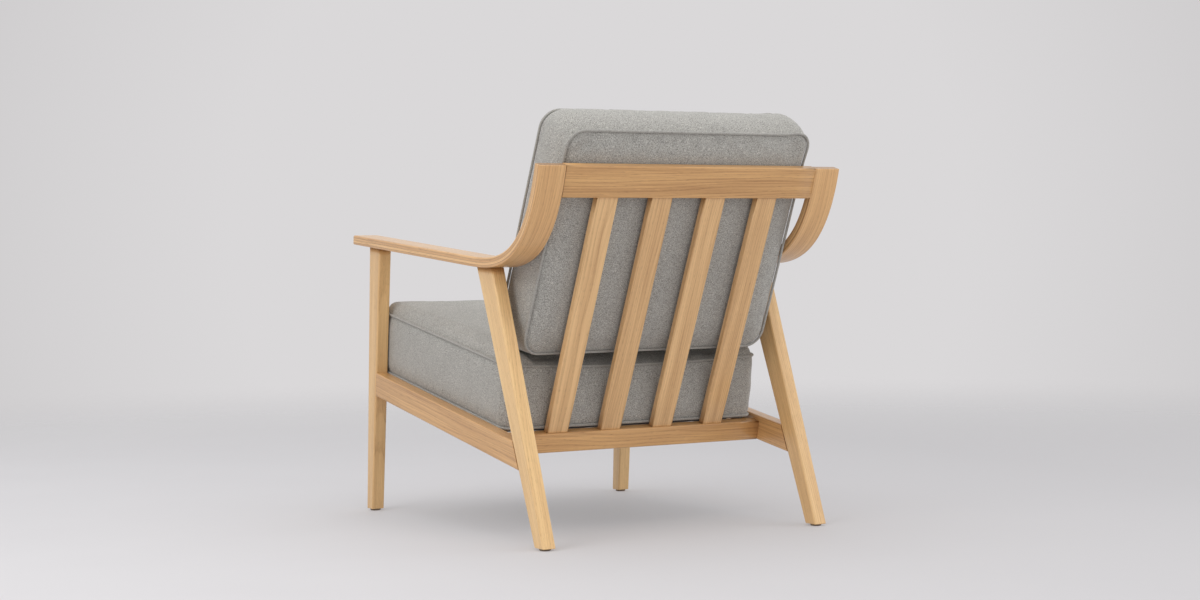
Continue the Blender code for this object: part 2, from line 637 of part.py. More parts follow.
# ---------------------------------------------------------------- webbing
for k, s in enumerate(STRAP_S):
    t = STRAP_T / 2
    bend = (t * tan(KERF_ANGLE / 2), t)                     # mitre where the band enters the kerf
    up = [(0.0, STRAP_N + t - STRAP_SAG), (0.15, STRAP_N + t - STRAP_SAG * 0.75), (LEG_X_IN + bend[0], STRAP_N + t), kerf(CLIP_L - 0.0012, t)]
    dn = [(0.0, STRAP_N - t - STRAP_SAG), (0.15, STRAP_N - t - STRAP_SAG * 0.75), (LEG_X_IN - bend[0], STRAP_N - t), kerf(CLIP_L - 0.0012, -t)]
    poly = [(-x, n) for x, n in reversed(up[1:])] + up + list(reversed(dn)) + [(-x, n) for x, n in dn[1:]]
    bm = bmesh.new()
    loft(bm, [[seat_point(x, s + e, n) for x, n in poly] for e in (-STRAP_W / 2, STRAP_W / 2)])
    add_object("seat_strap_%d" % (k + 1), bm, material("seat_strap_%d" % (k + 1), WEBBING, 0.85), smooth=False)
    for word, side in SIDES:
        h, c = CLIP_H / 2, CLIP_T
        prof = [kerf(0.0010, h), kerf(CLIP_L, h), kerf(CLIP_L, -h), kerf(0.0010, -h),
                kerf(0.0010, -h + c), kerf(CLIP_L - c, -h + c), kerf(CLIP_L - c, h - c), kerf(0.0010, h - c)]
        bm = bmesh.new()
        loft(bm, [[seat_point(side * x, s + e, n) for x, n in prof] for e in (-STRAP_W / 2, STRAP_W / 2)])
        add_object("strap_clip_%s_%d" % (word, k + 1), bm, material("strap_clip_%s_%d" % (word, k + 1), STEEL, 0.35, 1.0), smooth=False)

# ---------------------------------------------------------------- corner blocks
for pos in ("front", "rear"):
    for word, side in SIDES:
        o, bx, by, bz = block_frame(pos, side)
        bm = bmesh.new()
        loft(bm, [[o + bx * p[0] + by * p[1] + bz * h for p in BLOCK_POLY] for h in (0.0, BLOCK_H)])
        name = "%s_%s_corner_block" % (pos, word)
        block = add_object(name, bm, material(name, BEECH, 0.6), smooth=False)
        bm = bmesh.new()
        for i, (p, d, up) in enumerate(screw_frames(pos, side)):
            cylinder_bm(bm, p, d, up, SCREW_R + GAP, -0.001, 0.030, 8)
            cylinder_bm(bm, p, d, up, SCREW_HEAD_R + GAP, -0.020, 0.0, 12)
            sm = bmesh.new()
            seg = 10
            side_v = d.cross(up)
            # pan head with a flat, recessed centre, then the shank and its point
            prof = [(0.0014, -SCREW_HEAD_H + 0.0014), (0.0020, -SCREW_HEAD_H), (SCREW_HEAD_R - 0.0010, -SCREW_HEAD_H), (SCREW_HEAD_R, -SCREW_HEAD_H + 0.0012),
                    (SCREW_HEAD_R, -GAP), (SCREW_R, -GAP), (SCREW_R, (0.0190, 0.0216)[i] + SCREW_IN - 0.003), (0.0006, (0.0190, 0.0216)[i] + SCREW_IN)]
            loft(sm, [[p + d * a + up * (r * cos(2 * pi * j / seg)) + side_v * (r * sin(2 * pi * j / seg)) for j in range(seg)] for r, a in prof])
            sname = "%s_%s_block_screw_%d" % (pos, word, i + 1)
            add_object(sname, sm, material(sname, STEEL, 0.3, 1.0))
        # the counterbore and the shank hole meet end to end, so they are joined
        c = add_object(name + "_holes", bm, None, guide=True)
        m = block.modifiers.new("holes", "BOOLEAN")
        m.operation, m.solver, m.object, m.use_self = "DIFFERENCE", "EXACT", c, True

# ---------------------------------------------------------------- cushions
def outline(hw0, hw1, c0, c1, r, corner=4, long_n=4, short_n=4):
    """Rounded trapezium outline, counter-clockwise, as (x, c) points.

    hw0 is the half width at c0 and hw1 at c1.  Every side has the same number
    of points, so outlines of different size skin to each other."""
    pts = []
    corners = [(hw0, c0, -1), (hw1, c1, 1)]
    def arc(cx, cy, a0):
        return [(cx + r * cos(a0 + pi / 2 * k / corner), cy + r * sin(a0 + pi / 2 * k / corner)) for k in range(corner + 1)]
    br = arc(hw0 - r, c0 + r, -pi / 2)
    tr_ = arc(hw1 - r, c1 - r, 0)
    tl = arc(-hw1 + r, c1 - r, pi / 2)
    bl = arc(-hw0 + r, c0 + r, pi)
    def between(a, b, n):
        return [(a[0] + (b[0] - a[0]) * k / n, a[1] + (b[1] - a[1]) * k / n) for k in range(1, n)]
    pts = br + between(br[-1], tr_[0], short_n) + tr_ + between(tr_[-1], tl[0], long_n) + tl + between(tl[-1], bl[0], short_n) + bl + between(bl[-1], br[0], long_n)
    return pts


class Cushion:
    """Closed box cushion: rings of one outline from the low panel to the high.

    place(x, c, h) puts a local point in the world; c runs across the panel,
    h through the thickness.  drop(h) shears the low end of c with h."""

    def __init__(self, hw, c, h, r, crown_lo, crown_hi, bulge, place, flat_lo=1.0, flat_hi=3.0, long_n=4, short_n=4):
        self.hw, self.c, self.h, self.r = hw, c, h, r
        self.crown, self.bulge, self.place, self.flat_lo, self.flat_hi = (crown_lo, crown_hi), bulge, place, flat_lo, flat_hi
        self.long_n, self.short_n = long_n, short_n

    def ring(self, grow, h, scale=1.0, side=0.0):
        """One ring: grow moves the outline outwards, scale shrinks it to the middle."""
        c0, c1 = self.c
        o = outline(self.hw[0] + grow, self.hw[1] + grow, c0 - grow, c1 + grow, max(self.r + grow, 0.004), 4, self.long_n, self.short_n)
        cm = (c0 + c1) / 2
        return [self.place(x * scale, cm + (c - cm) * scale, h, side) for x, c in o]

    def surface(self, inset=0.0):
        h0, h1 = self.h
        k = PIPING_SEAT
        rings = []
        levels = (0.30, 0.55, 0.78, 0.93)
        for s in levels:
            rings.append(self.ring(-k - inset, h0 + inset - self.crown[0] * (1 - s ** self.flat_lo), s))
        rings.append(self.ring(-k - inset, h0 + inset))
        rings.append(self.ring(-inset, h0 + k + inset * 0.4))
        b = self.bulge
        rings.append(self.ring(b - inset, h0 + (h1 - h0) * 0.30, side=1.0))
        rings.append(self.ring(b - inset, h0 + (h1 - h0) * 0.36, side=1.0))
        rings.append(self.ring(b - inset, h0 + (h1 - h0) * 0.68, side=1.0))
        rings.append(self.ring(-inset, h1 - k - inset * 0.4))
        rings.append(self.ring(-k - inset, h1 - inset))
        for s in reversed(levels):
            rings.append(self.ring(-k - inset, h1 - inset + self.crown[1] * (1 - s ** self.flat_hi), s))
        return rings

    def cover(self, name, mat, opening):
        """Fabric shell, open where the zip is.  opening = (ring index, first, last column)."""
        rings = self.surface()
        bm = bmesh.new()
        vs = [[bm.verts.new(p) for p in s] for s in rings]
        n = len(vs[0])
        ri, j0, j1 = opening
        for i, (a, b) in enumerate(zip(vs[:-1], vs[1:])):
            for j in range(n):
                if i == ri and j0 <= j < j1:
                    continue
                q = (j + 1) % n
                bm.faces.new((a[j], a[q], b[q], b[j]))
        for ring, rev in ((vs[0], True), (vs[-1], False)):
            m = bm.verts.new(sum((v.co for v in ring), Vector()) / n)
            for j in range(n):
                q = (j + 1) % n
                bm.faces.new((ring[q], ring[j], m) if rev else (ring[j], ring[q], m))
        bmesh.ops.recalc_face_normals(bm, faces=bm.faces)
        mid = sum((v.co for v in bm.verts), Vector()) / len(bm.verts)
        out = sum((f.normal.dot(f.calc_center_median() - mid) for f in bm.faces), 0.0)
        if out < 0:
            bmesh.ops.reverse_faces(bm, faces=bm.faces)
        me = bpy.data.meshes.new(name)
        bm.to_mesh(me)
        bm.free()
        me.materials.append(mat)
        me.shade_smooth()
        ob = bpy.data.objects.new(name, me)
        bpy.context.scene.collection.objects.link(ob)
        s = ob.modifiers.new("fabric", "SOLIDIFY")
        s.thickness = FABRIC_T
        s.offset = -1.0
        s.use_rim = True
        return ob

    def foam(self, name, mat):
        bm = bmesh.new()
        loft(bm, self.surface(0.0032))
        return add_object(name, bm, mat)

    def zip_strip(self, name, mat, opening, inward):
        """Closed strip that fills the cover's opening with a small gap all round."""
        rings = self.surface()
        ri, j0, j1 = opening
        a, b = rings[ri], rings[ri + 1]
        n = len(a)
        cols = []
        for j in range(j0, j1 + 1):
            p, q = a[j % n], b[j % n]
            cols.append([p.lerp(q, 0.08), q.lerp(p, 0.08)])
        for end, nxt in ((0, 1), (-1, -2)):
            for r in (0, 1):
                cols[end][r] = cols[end][r] + (cols[nxt][r] - cols[end][r]).normalized() * 0.0008
        d = Vector(inward) * 0.0010
        off = Vector(inward) * 0.0001
        bm = bmesh.new()
        loft(bm, [[c[0] + off, c[1] + off, c[1] + d, c[0] + d] for c in cols])
        return add_object(name, bm, mat, smooth=False)

    def puller(self, name, mat, opening, col, outward):
        """Zip slider and its tab, just outside the strip at one column."""
        rings = self.surface()
        a, b = rings[opening[0]], rings[opening[0] + 1]
        mid = (a[col] + b[col] + a[col + 1] + b[col + 1]) / 4
        run = (a[col + 1] - a[col]).normalized()
        out = run.cross(b[col] - a[col]).normalized()
        if out.dot(Vector(outward)) < 0:
            out = -out
        wide = run.cross(out)
        prof = [(-0.0045, 0.0005), (0.0045, 0.0005), (0.0045, 0.0014), (0.0240, 0.0014), (0.0240, 0.0024), (-0.0045, 0.0024)]
        bm = bmesh.new()
        loft(bm, [[mid + run * r + out * o + wide * w for r, o in prof] for w in (-0.0024, 0.0024)])
        return add_object(name, bm, mat, smooth=False)

    def piping(self, name, mat, high_side):
        """Round cord on the seam, a closed loop."""
        k = PIPING_SEAT
        reach = (PIPING_R + 0.0004) / sqrt(2)
        h0, h1 = self.h
        if high_side:
            grow, h, up = -k / 2 + reach, h1 - k / 2 + reach, 1
        else:
            grow, h, up = -k / 2 + reach, h0 + k / 2 - reach, -1
        core = self.ring(grow, h)
        ref = self.ring(grow + 0.001, h)
        lift = self.ring(grow, h + 0.001)
        n = len(core)
        secs = []
        for j in range(n):
            u = (ref[j] - core[j]).normalized()
            v = (lift[j] - core[j]).normalized()
            secs.append([core[j] + u * (PIPING_R * cos(2 * pi * q / 6 + pi / 6)) + v * (PIPING_R * sin(2 * pi * q / 6 + pi / 6)) for q in range(6)])
        bm = bmesh.new()
        loft(bm, secs, close=True)
        return add_object(name, bm, mat)


def place_seat(x, c, h, side):
    return seat_point(x, c, h)


def place_back(x, a, d, side):
    """Back plane; the low edge hangs lower towards the front, the top border bulges."""
    w = (d - BACK_D[0]) / (BACK_D[1] - BACK_D[0])
    lowness = min(max((BACK_A[1] - a) / (BACK_A[1] - BACK_A[0]), 0.0), 1.0)
    a2 = a - BACK_BOTTOM_DROP * w * lowness ** 2
    if side:
        top = min(max((a - (BACK_A[1] - 0.03)) / 0.03, 0.0), 1.0)
        a2 += 0.016 * side * top
    p = SL_O + SL_T * a2 + SL_M * d
    return Vector((x, p[0], p[1]))


seat = Cushion((SEAT_HALF_W, SEAT_HALF_W), SEAT_S, SEAT_N, SEAT_CORNER_R, SEAT_CROWN_BOTTOM, SEAT_CROWN_TOP, 0.0030, place_seat, flat_lo=18.0, flat_hi=8.0)
back = Cushion((BACK_HALF_W_LOW, BACK_HALF_W_TOP), BACK_A, BACK_D, BACK_CORNER_R, BACK_CROWN_REAR, BACK_CROWN_FRONT, 0.0030, place_back, flat_lo=8.0, flat_hi=5.0)

# columns of the straight sides: each corner has 5 points, each side 3 more
N_CORNER, N_SIDE = 5, 3
LONG_HI = (2 * N_CORNER + N_SIDE - 1, 2 * N_CORNER + 2 * N_SIDE)       # side at the high end of c
LONG_LO = (4 * N_CORNER + 3 * N_SIDE - 1, 4 * N_CORNER + 4 * N_SIDE)   # side at the low end of c
seat_open = (3, LONG_HI[0], LONG_HI[1])
back_open = (6, LONG_LO[0], LONG_LO[1])
seat.cover("seat_cushion_cover", material("seat_cushion_cover", FABRIC, 0.95), seat_open)
seat.foam("seat_cushion_foam", material("seat_cushion_foam", FOAM, 0.9))
seat.zip_strip("seat_cushion_zip", material("seat_cushion_zip", ZIP, 0.6), seat_open, SEAT_EN)
seat.puller("seat_cushion_zip_puller", material("seat_cushion_zip_puller", STEEL, 0.35, 1.0), seat_open, seat_open[1] + 1, -SEAT_EN)
seat.piping("seat_cushion_top_piping", material("seat_cushion_top_piping", PIPING, 0.95), True)
seat.piping("seat_cushion_bottom_piping", material("seat_cushion_bottom_piping", PIPING, 0.95), False)
back.cover("back_cushion_cover", material("back_cushion_cover", FABRIC, 0.95), back_open)
back.foam("back_cushion_foam", material("back_cushion_foam", FOAM, 0.9))
back.zip_strip("back_cushion_zip", material("back_cushion_zip", ZIP, 0.6), back_open, (0, SL_T[0], SL_T[1]))
back.puller("back_cushion_zip_puller", material("back_cushion_zip_puller", STEEL, 0.35, 1.0), back_open, back_open[1] + 1, (0, -SL_T[0], -SL_T[1]))
back.piping("back_cushion_front_piping", material("back_cushion_front_piping", PIPING, 0.95), True)
back.piping("back_cushion_rear_piping", material("back_cushion_rear_piping", PIPING, 0.95), False)
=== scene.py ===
# Looks of the oak armchair: fine timber, plied arms, two simulated cushions,
# piping, zips and webbing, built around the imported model.
import bpy
import bmesh
import numpy as np
from math import sin, cos, tan, radians, pi, sqrt, exp, atan2, degrees
from mathutils import Vector, Matrix, noise as mnoise


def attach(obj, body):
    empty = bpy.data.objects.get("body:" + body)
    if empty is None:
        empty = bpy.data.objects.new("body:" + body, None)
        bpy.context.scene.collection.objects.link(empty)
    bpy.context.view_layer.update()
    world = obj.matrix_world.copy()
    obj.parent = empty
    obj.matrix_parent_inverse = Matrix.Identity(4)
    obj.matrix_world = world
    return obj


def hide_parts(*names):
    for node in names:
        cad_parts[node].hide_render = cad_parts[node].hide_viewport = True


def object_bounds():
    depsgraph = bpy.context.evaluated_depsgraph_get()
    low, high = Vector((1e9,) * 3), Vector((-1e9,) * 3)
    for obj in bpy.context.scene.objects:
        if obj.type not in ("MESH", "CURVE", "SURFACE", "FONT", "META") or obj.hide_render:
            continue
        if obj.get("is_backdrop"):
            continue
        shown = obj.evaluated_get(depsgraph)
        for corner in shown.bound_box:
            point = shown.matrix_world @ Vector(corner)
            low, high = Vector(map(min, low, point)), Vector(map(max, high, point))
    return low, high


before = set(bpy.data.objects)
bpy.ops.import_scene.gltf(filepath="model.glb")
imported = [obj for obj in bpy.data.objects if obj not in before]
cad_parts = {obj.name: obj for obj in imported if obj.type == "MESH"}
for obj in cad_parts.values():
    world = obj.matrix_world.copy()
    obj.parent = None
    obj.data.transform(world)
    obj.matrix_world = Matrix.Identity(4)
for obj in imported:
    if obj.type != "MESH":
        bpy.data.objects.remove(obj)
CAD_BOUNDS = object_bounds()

# =============================================================== dimensions
GAP = 0.0003
ARM_X_OUT, ARM_X_IN, ARM_T = 0.340, 0.282, 0.020
ARM_Y_FRONT, ARM_Z_FRONT = -0.4229, 0.5769
ARM_SLOPE = radians(4.91)
ARM_BEND_Y = 0.1178
ARM_HANDLE_1, ARM_HANDLE_2 = 0.1261, 0.2410
ARM_RAKE = radians(12.0)
ARM_END = (0.4309, 0.7445)
ARM_TOP_Z = 0.7124
LEG_X_OUT, LEG_X_IN = 0.324, 0.296
FOOT_Z = 0.0038
FRONT_LEG_FRONT, FRONT_LEG_REAR = (-0.4054, 0.0566), (-0.3778, 0.1029)
REAR_LEG_FRONT, REAR_LEG_REAR = (0.3566, -0.4238), (0.3907, -0.3661)
SEAT_SLOPE, SEAT_Z0, RAIL_H = radians(9.40), 0.2426, 0.050
FRONT_RAIL_Y, FRONT_RAIL_Z0, FRONT_RAIL_DROP = (-0.386, -0.362), 0.2480, 0.0140
REAR_RAIL_EDGE, REAR_RAIL_TILT, REAR_RAIL_T, REAR_RAIL_H = (0.1968, 0.1993), radians(14.0), 0.026, 0.040
SLAT_RAKE, SLAT_REAR, SLAT_T, SLAT_W, SLAT_PITCH = radians(24.3), (0.1930, 0.2000), 0.014, 0.0478, 0.1206
TOP_RAIL_Z = 0.6536
STRAP_W, STRAP_T, STRAP_S, STRAP_N, STRAP_SAG = 0.060, 0.0025, (-0.270, -0.150, -0.030, 0.090), -0.0150, 0.0020
KERF_ANGLE, KERF_L, KERF_H, CLIP_L = radians(20), 0.0152, 0.0054, 0.0138
SEAT_HALF_W, SEAT_S, SEAT_N, SEAT_CORNER_R = 0.2918, (-0.4115, 0.1800), (-0.0026, 0.1238), 0.024
BACK_HALF_W_LOW, BACK_HALF_W_TOP = 0.2765, 0.2720
BACK_A, BACK_D, BACK_CORNER_R = (0.1575, 0.6195), (0.0340, 0.1430), 0.036
BACK_BOTTOM_DROP = 0.0280

EX, EY, EZ = Vector((1, 0, 0)), Vector((0, 1, 0)), Vector((0, 0, 1))
SIDES = (("left", 1), ("right", -1))


def v3(x, yz):
    return Vector((x, yz[0], yz[1]))


def meet(p, d, q, e):
    det = d[0] * e[1] - d[1] * e[0]
    t = ((q[0] - p[0]) * e[1] - (q[1] - p[1]) * e[0]) / det
    return (p[0] + d[0] * t, p[1] + d[1] * t)


def clamp01(v):
    return min(max(v, 0.0), 1.0)


def smooth01(v):
    v = clamp01(v)
    return v * v * (3 - 2 * v)


# =============================================================== node helpers
class Nodes:
    """Short-hand for building one material's node tree."""

    def __init__(self, name):
        self.m = bpy.data.materials.new(name)
        self.m.use_nodes = True
        self.t = self.m.node_tree
        self.t.nodes.clear()
        self.out = self.t.nodes.new("ShaderNodeOutputMaterial")
        self.bsdf = self.t.nodes.new("ShaderNodeBsdfPrincipled")
        self.t.links.new(self.bsdf.outputs[0], self.out.inputs[0])

    def put(self, sock, value):
        if hasattr(value, "node"):
            self.t.links.new(value, sock)
        elif isinstance(value, (tuple, list)) and len(value) == 3 and sock.type == "RGBA":
            sock.default_value = (value[0], value[1], value[2], 1.0)
        else:
            sock.default_value = value

    def math(self, op, a, b=0.0, c=0.0, clamp=False):
        n = self.t.nodes.new("ShaderNodeMath")
        n.operation, n.use_clamp = op, clamp
        self.put(n.inputs[0], a)
        self.put(n.inputs[1], b)
        self.put(n.inputs[2], c)
        return n.outputs[0]

    def attr(self, name, vector=True):
        n = self.t.nodes.new("ShaderNodeAttribute")
        n.attribute_name = name
        return n.outputs["Vector"] if vector else n.outputs["Fac"]

    def scaled(self, vec, s, off=(0, 0, 0)):
        n = self.t.nodes.new("ShaderNodeMapping")
        self.put(n.inputs["Vector"], vec)
        n.inputs["Scale"].default_value = s
        n.inputs["Location"].default_value = off
        return n.outputs[0]

    def sep(self, vec):
        n = self.t.nodes.new("ShaderNodeSeparateXYZ")
        self.put(n.inputs[0], vec)
        return n.outputs

    def comb(self, x, y, z):
        n = self.t.nodes.new("ShaderNodeCombineXYZ")
        for i, v in enumerate((x, y, z)):
            self.put(n.inputs[i], v)
        return n.outputs[0]

    def noise(self, vec, scale=1.0, detail=2.0, rough=0.5, dist=0.0):
        n = self.t.nodes.new("ShaderNodeTexNoise")
        self.put(n.inputs["Vector"], vec)
        n.inputs["Scale"].default_value = scale
        n.inputs["Detail"].default_value = detail
        n.inputs["Roughness"].default_value = rough
        n.inputs["Distortion"].default_value = dist
        return n.outputs["Fac"]

    def ramp(self, fac, stops, interp="LINEAR"):
        n = self.t.nodes.new("ShaderNodeValToRGB")
        n.color_ramp.interpolation = interp
        e = n.color_ramp.elements
        while len(e) > 1:
            e.remove(e[-1])
        e[0].position = stops[0][0]
        e[0].color = self.rgba(stops[0][1])
        for p, c in stops[1:]:
            k = e.new(p)
            k.color = self.rgba(c)
        self.put(n.inputs[0], fac)
        return n.outputs[0]

    @staticmethod
    def rgba(c):
        return (c, c, c, 1.0) if isinstance(c, (int, float)) else (c[0], c[1], c[2], 1.0)

    def mix(self, fac, a, b, mode="MIX"):
        n = self.t.nodes.new("ShaderNodeMix")
        n.data_type = "RGBA"
        n.blend_type = mode
        self.put(n.inputs[0], fac)
        self.put(n.inputs[6], a)
        self.put(n.inputs[7], b)
        return n.outputs[2]

    def range(self, v, a, b, c, d):
        n = self.t.nodes.new("ShaderNodeMapRange")
        self.put(n.inputs[0], v)
        for i, k in enumerate((a, b, c, d)):
            n.inputs[1 + i].default_value = k
        return n.outputs[0]

    def bump(self, height, dist, strength=1.0, normal=None):
        n = self.t.nodes.new("ShaderNodeBump")
        n.inputs["Distance"].default_value = dist
        n.inputs["Strength"].default_value = strength
        self.put(n.inputs["Height"], height)
        if normal is not None:
            self.put(n.inputs["Normal"], normal)
        return n.outputs[0]

    def objco(self):
        return self.t.nodes.new("ShaderNodeTexCoord").outputs["Object"]

    def done(self, **kw):
        for k, v in kw.items():
            self.put(self.bsdf.inputs[k.replace("_", " ")], v)
        return self.m


# =============================================================== materials
def srgb(r, g, b):
    f = lambda c: c / 255 / 12.92 if c / 255 <= 0.04045 else ((c / 255 + 0.055) / 1.055) ** 2.4
    return (f(r), f(g), f(b))


def scale3(c, k):
    return (c[0] * k, c[1] * k, c[2] * k)


def oak(name, light, dark, seed=0.0, plies=False, ring=0.0034, centre=(0.05, -0.11), contrast=1.0, curl=1.0):
    """Lacquered oak.  The attribute grain holds (across, through, along) in metres
    and tone shifts one piece against its neighbours; endg is 1 on end grain."""
    N = Nodes(name)
    g = N.attr("grain")
    gx, gy, gz = N.sep(g)[0:3]
    tone = N.attr("tone", vector=False)
    endg = N.attr("endg", vector=False)
    sx = seed * 1.37
    sz = seed * 2.11
    if plies:
        # four veneers through the thickness, each cut from its own flitch
        yc = N.range(gy, 0.0, 0.020, 0.0004, 0.0196)
        ply = N.math("FLOOR", N.math("DIVIDE", yc, 0.005))
        edge = N.math("PINGPONG", yc, 0.0025)                     # 0 on a glue line
        onface = N.math("GREATER_THAN", N.math("ABSOLUTE", N.math("SUBTRACT", yc, 0.010)), 0.0078)
        glue = N.math("MULTIPLY", N.math("LESS_THAN", edge, 0.00032), N.math("SUBTRACT", 1.0, onface))
        jump = N.math("MULTIPLY", ply, 0.731)
        gx2 = N.math("ADD", gx, N.math("MULTIPLY", jump, 0.21))
        gz2 = N.math("ADD", gz, jump)
        ptone = N.math("SINE", N.math("MULTIPLY_ADD", ply, 2.4, 0.9 + seed))
    else:
        gx2, gz2 = gx, gz
    tonevar = N.math("MULTIPLY", tone, 1.0)
    # warp the growth rings slowly along the board
    wv = N.comb(N.math("MULTIPLY", gx2, 9.0), N.math("MULTIPLY", gy, 9.0), N.math("MULTIPLY_ADD", gz2, 1.5, sz))
    warp = N.math("SUBTRACT", N.noise(wv, 1.0, 2.0, 0.5), 0.5)
    wv2 = N.comb(N.math("MULTIPLY", gx2, 60.0), N.math("MULTIPLY", gy, 60.0), N.math("MULTIPLY_ADD", gz2, 6.0, sz))
    warp2 = N.math("SUBTRACT", N.noise(wv2, 1.0, 1.0, 0.5), 0.5)
    dx = N.math("SUBTRACT", N.math("MULTIPLY_ADD", gz2, 0.012 * curl, gx2), centre[0] + 0.01 * sin(seed * 3.0))
    dy = N.math("SUBTRACT", gy, centre[1])
    rad = N.math("SQRT", N.math("ADD", N.math("MULTIPLY", dx, dx), N.math("MULTIPLY", dy, dy)))
    rad = N.math("ADD", rad, N.math("MULTIPLY", warp, 0.030 * curl))
    rad = N.math("ADD", rad, N.math("MULTIPLY", warp2, 0.0030))
    wide = N.noise(N.comb(N.math("MULTIPLY", rad, 90.0), sx, 0.0), 1.0, 1.0, 0.5)
    phase = N.math("ADD", N.math("DIVIDE", rad, ring), N.math("MULTIPLY", wide, 2.6))
    fr = N.math("FRACT", phase)
    ringcol = N.ramp(fr, [(0.0, 1.0), (0.10, 0.72), (0.32, 0.30), (0.62, 0.08), (0.93, 0.0), (1.0, 1.0)])
    # fibre: long fine streaks, and broad soft ones
    fv = N.comb(N.math("MULTIPLY", gx2, 620.0), N.math("MULTIPLY", gy, 620.0), N.math("MULTIPLY_ADD", gz2, 9.0, sz))
    fibre = N.noise(fv, 1.0, 3.0, 0.6)
    bv = N.comb(N.math("MULTIPLY_ADD", gx2, 70.0, sx), N.math("MULTIPLY", gy, 70.0), N.math("MULTIPLY", gz2, 2.2))
    broad = N.noise(bv, 1.0, 2.0, 0.55)
    pv = N.comb(N.math("MULTIPLY", gx2, 1900.0), N.math("MULTIPLY", gy, 1900.0), N.math("MULTIPLY_ADD", gz2, 75.0, sx))
    pore = N.range(N.noise(pv, 1.0, 0.0, 0.5), 0.36, 0.27, 0.0, 1.0)
    pore = N.math("MULTIPLY", pore, N.math("MULTIPLY_ADD", ringcol, 0.8, 0.15), clamp=True)
    rv = N.comb(N.math("MULTIPLY", gx2, 160.0), N.math("MULTIPLY", gy, 900.0), N.math("MULTIPLY_ADD", gz2, 42.0, sz))
    ray = N.range(N.noise(rv, 1.0, 1.0, 0.5), 0.66, 0.74, 0.0, 1.0)
    mixf = N.math("MULTIPLY", ringcol, 0.27 * contrast)
    mixf = N.math("ADD", mixf, N.math("MULTIPLY", N.math("SUBTRACT", fibre, 0.5), 0.75 * contrast))
    mixf = N.math("ADD", mixf, N.math("MULTIPLY", N.math("SUBTRACT", broad, 0.5), 1.0 * contrast))
    mixf = N.math("ADD", mixf, N.math("MULTIPLY", tonevar, 1.0))
    if plies:
        mixf = N.math("ADD", mixf, N.math("MULTIPLY", N.math("SUBTRACT", 1.0, onface), N.math("MULTIPLY", ptone, 0.30)))
    mixf = N.math("ADD", mixf, 0.16, clamp=True)
    col = N.mix(mixf, light, dark)
    col = N.mix(N.math("MULTIPLY", ray, 0.16), col, scale3(light, 1.18))
    col = N.mix(N.math("MULTIPLY", pore, 0.55), col, scale3(dark, 0.42))
    col = N.mix(N.math("MULTIPLY", endg, 0.55), col, scale3(dark, 0.62))
    if plies:
        col = N.mix(N.math("MULTIPLY", glue, 0.62), col, scale3(dark, 0.35))
    rough = N.range(N.math("ADD", fibre, N.math("MULTIPLY", pore, 0.6)), 0.3, 1.2, 0.30, 0.54)
    h = N.math("SUBTRACT", N.math("MULTIPLY", fibre, 0.25), N.math("MULTIPLY", pore, 0.9))
    h = N.math("SUBTRACT", h, N.math("MULTIPLY", ringcol, 0.15))
    if plies:
        h = N.math("SUBTRACT", h, N.math("MULTIPLY", glue, 0.5))
    N.done(Base_Color=col, Roughness=rough, Normal=N.bump(h, 0.00016, 0.55))
    N.bsdf.inputs["Coat Weight"].default_value = 0.40
    N.bsdf.inputs["Coat Roughness"].default_value = 0.20
    N.bsdf.inputs["IOR"].default_value = 1.48
    return N.m


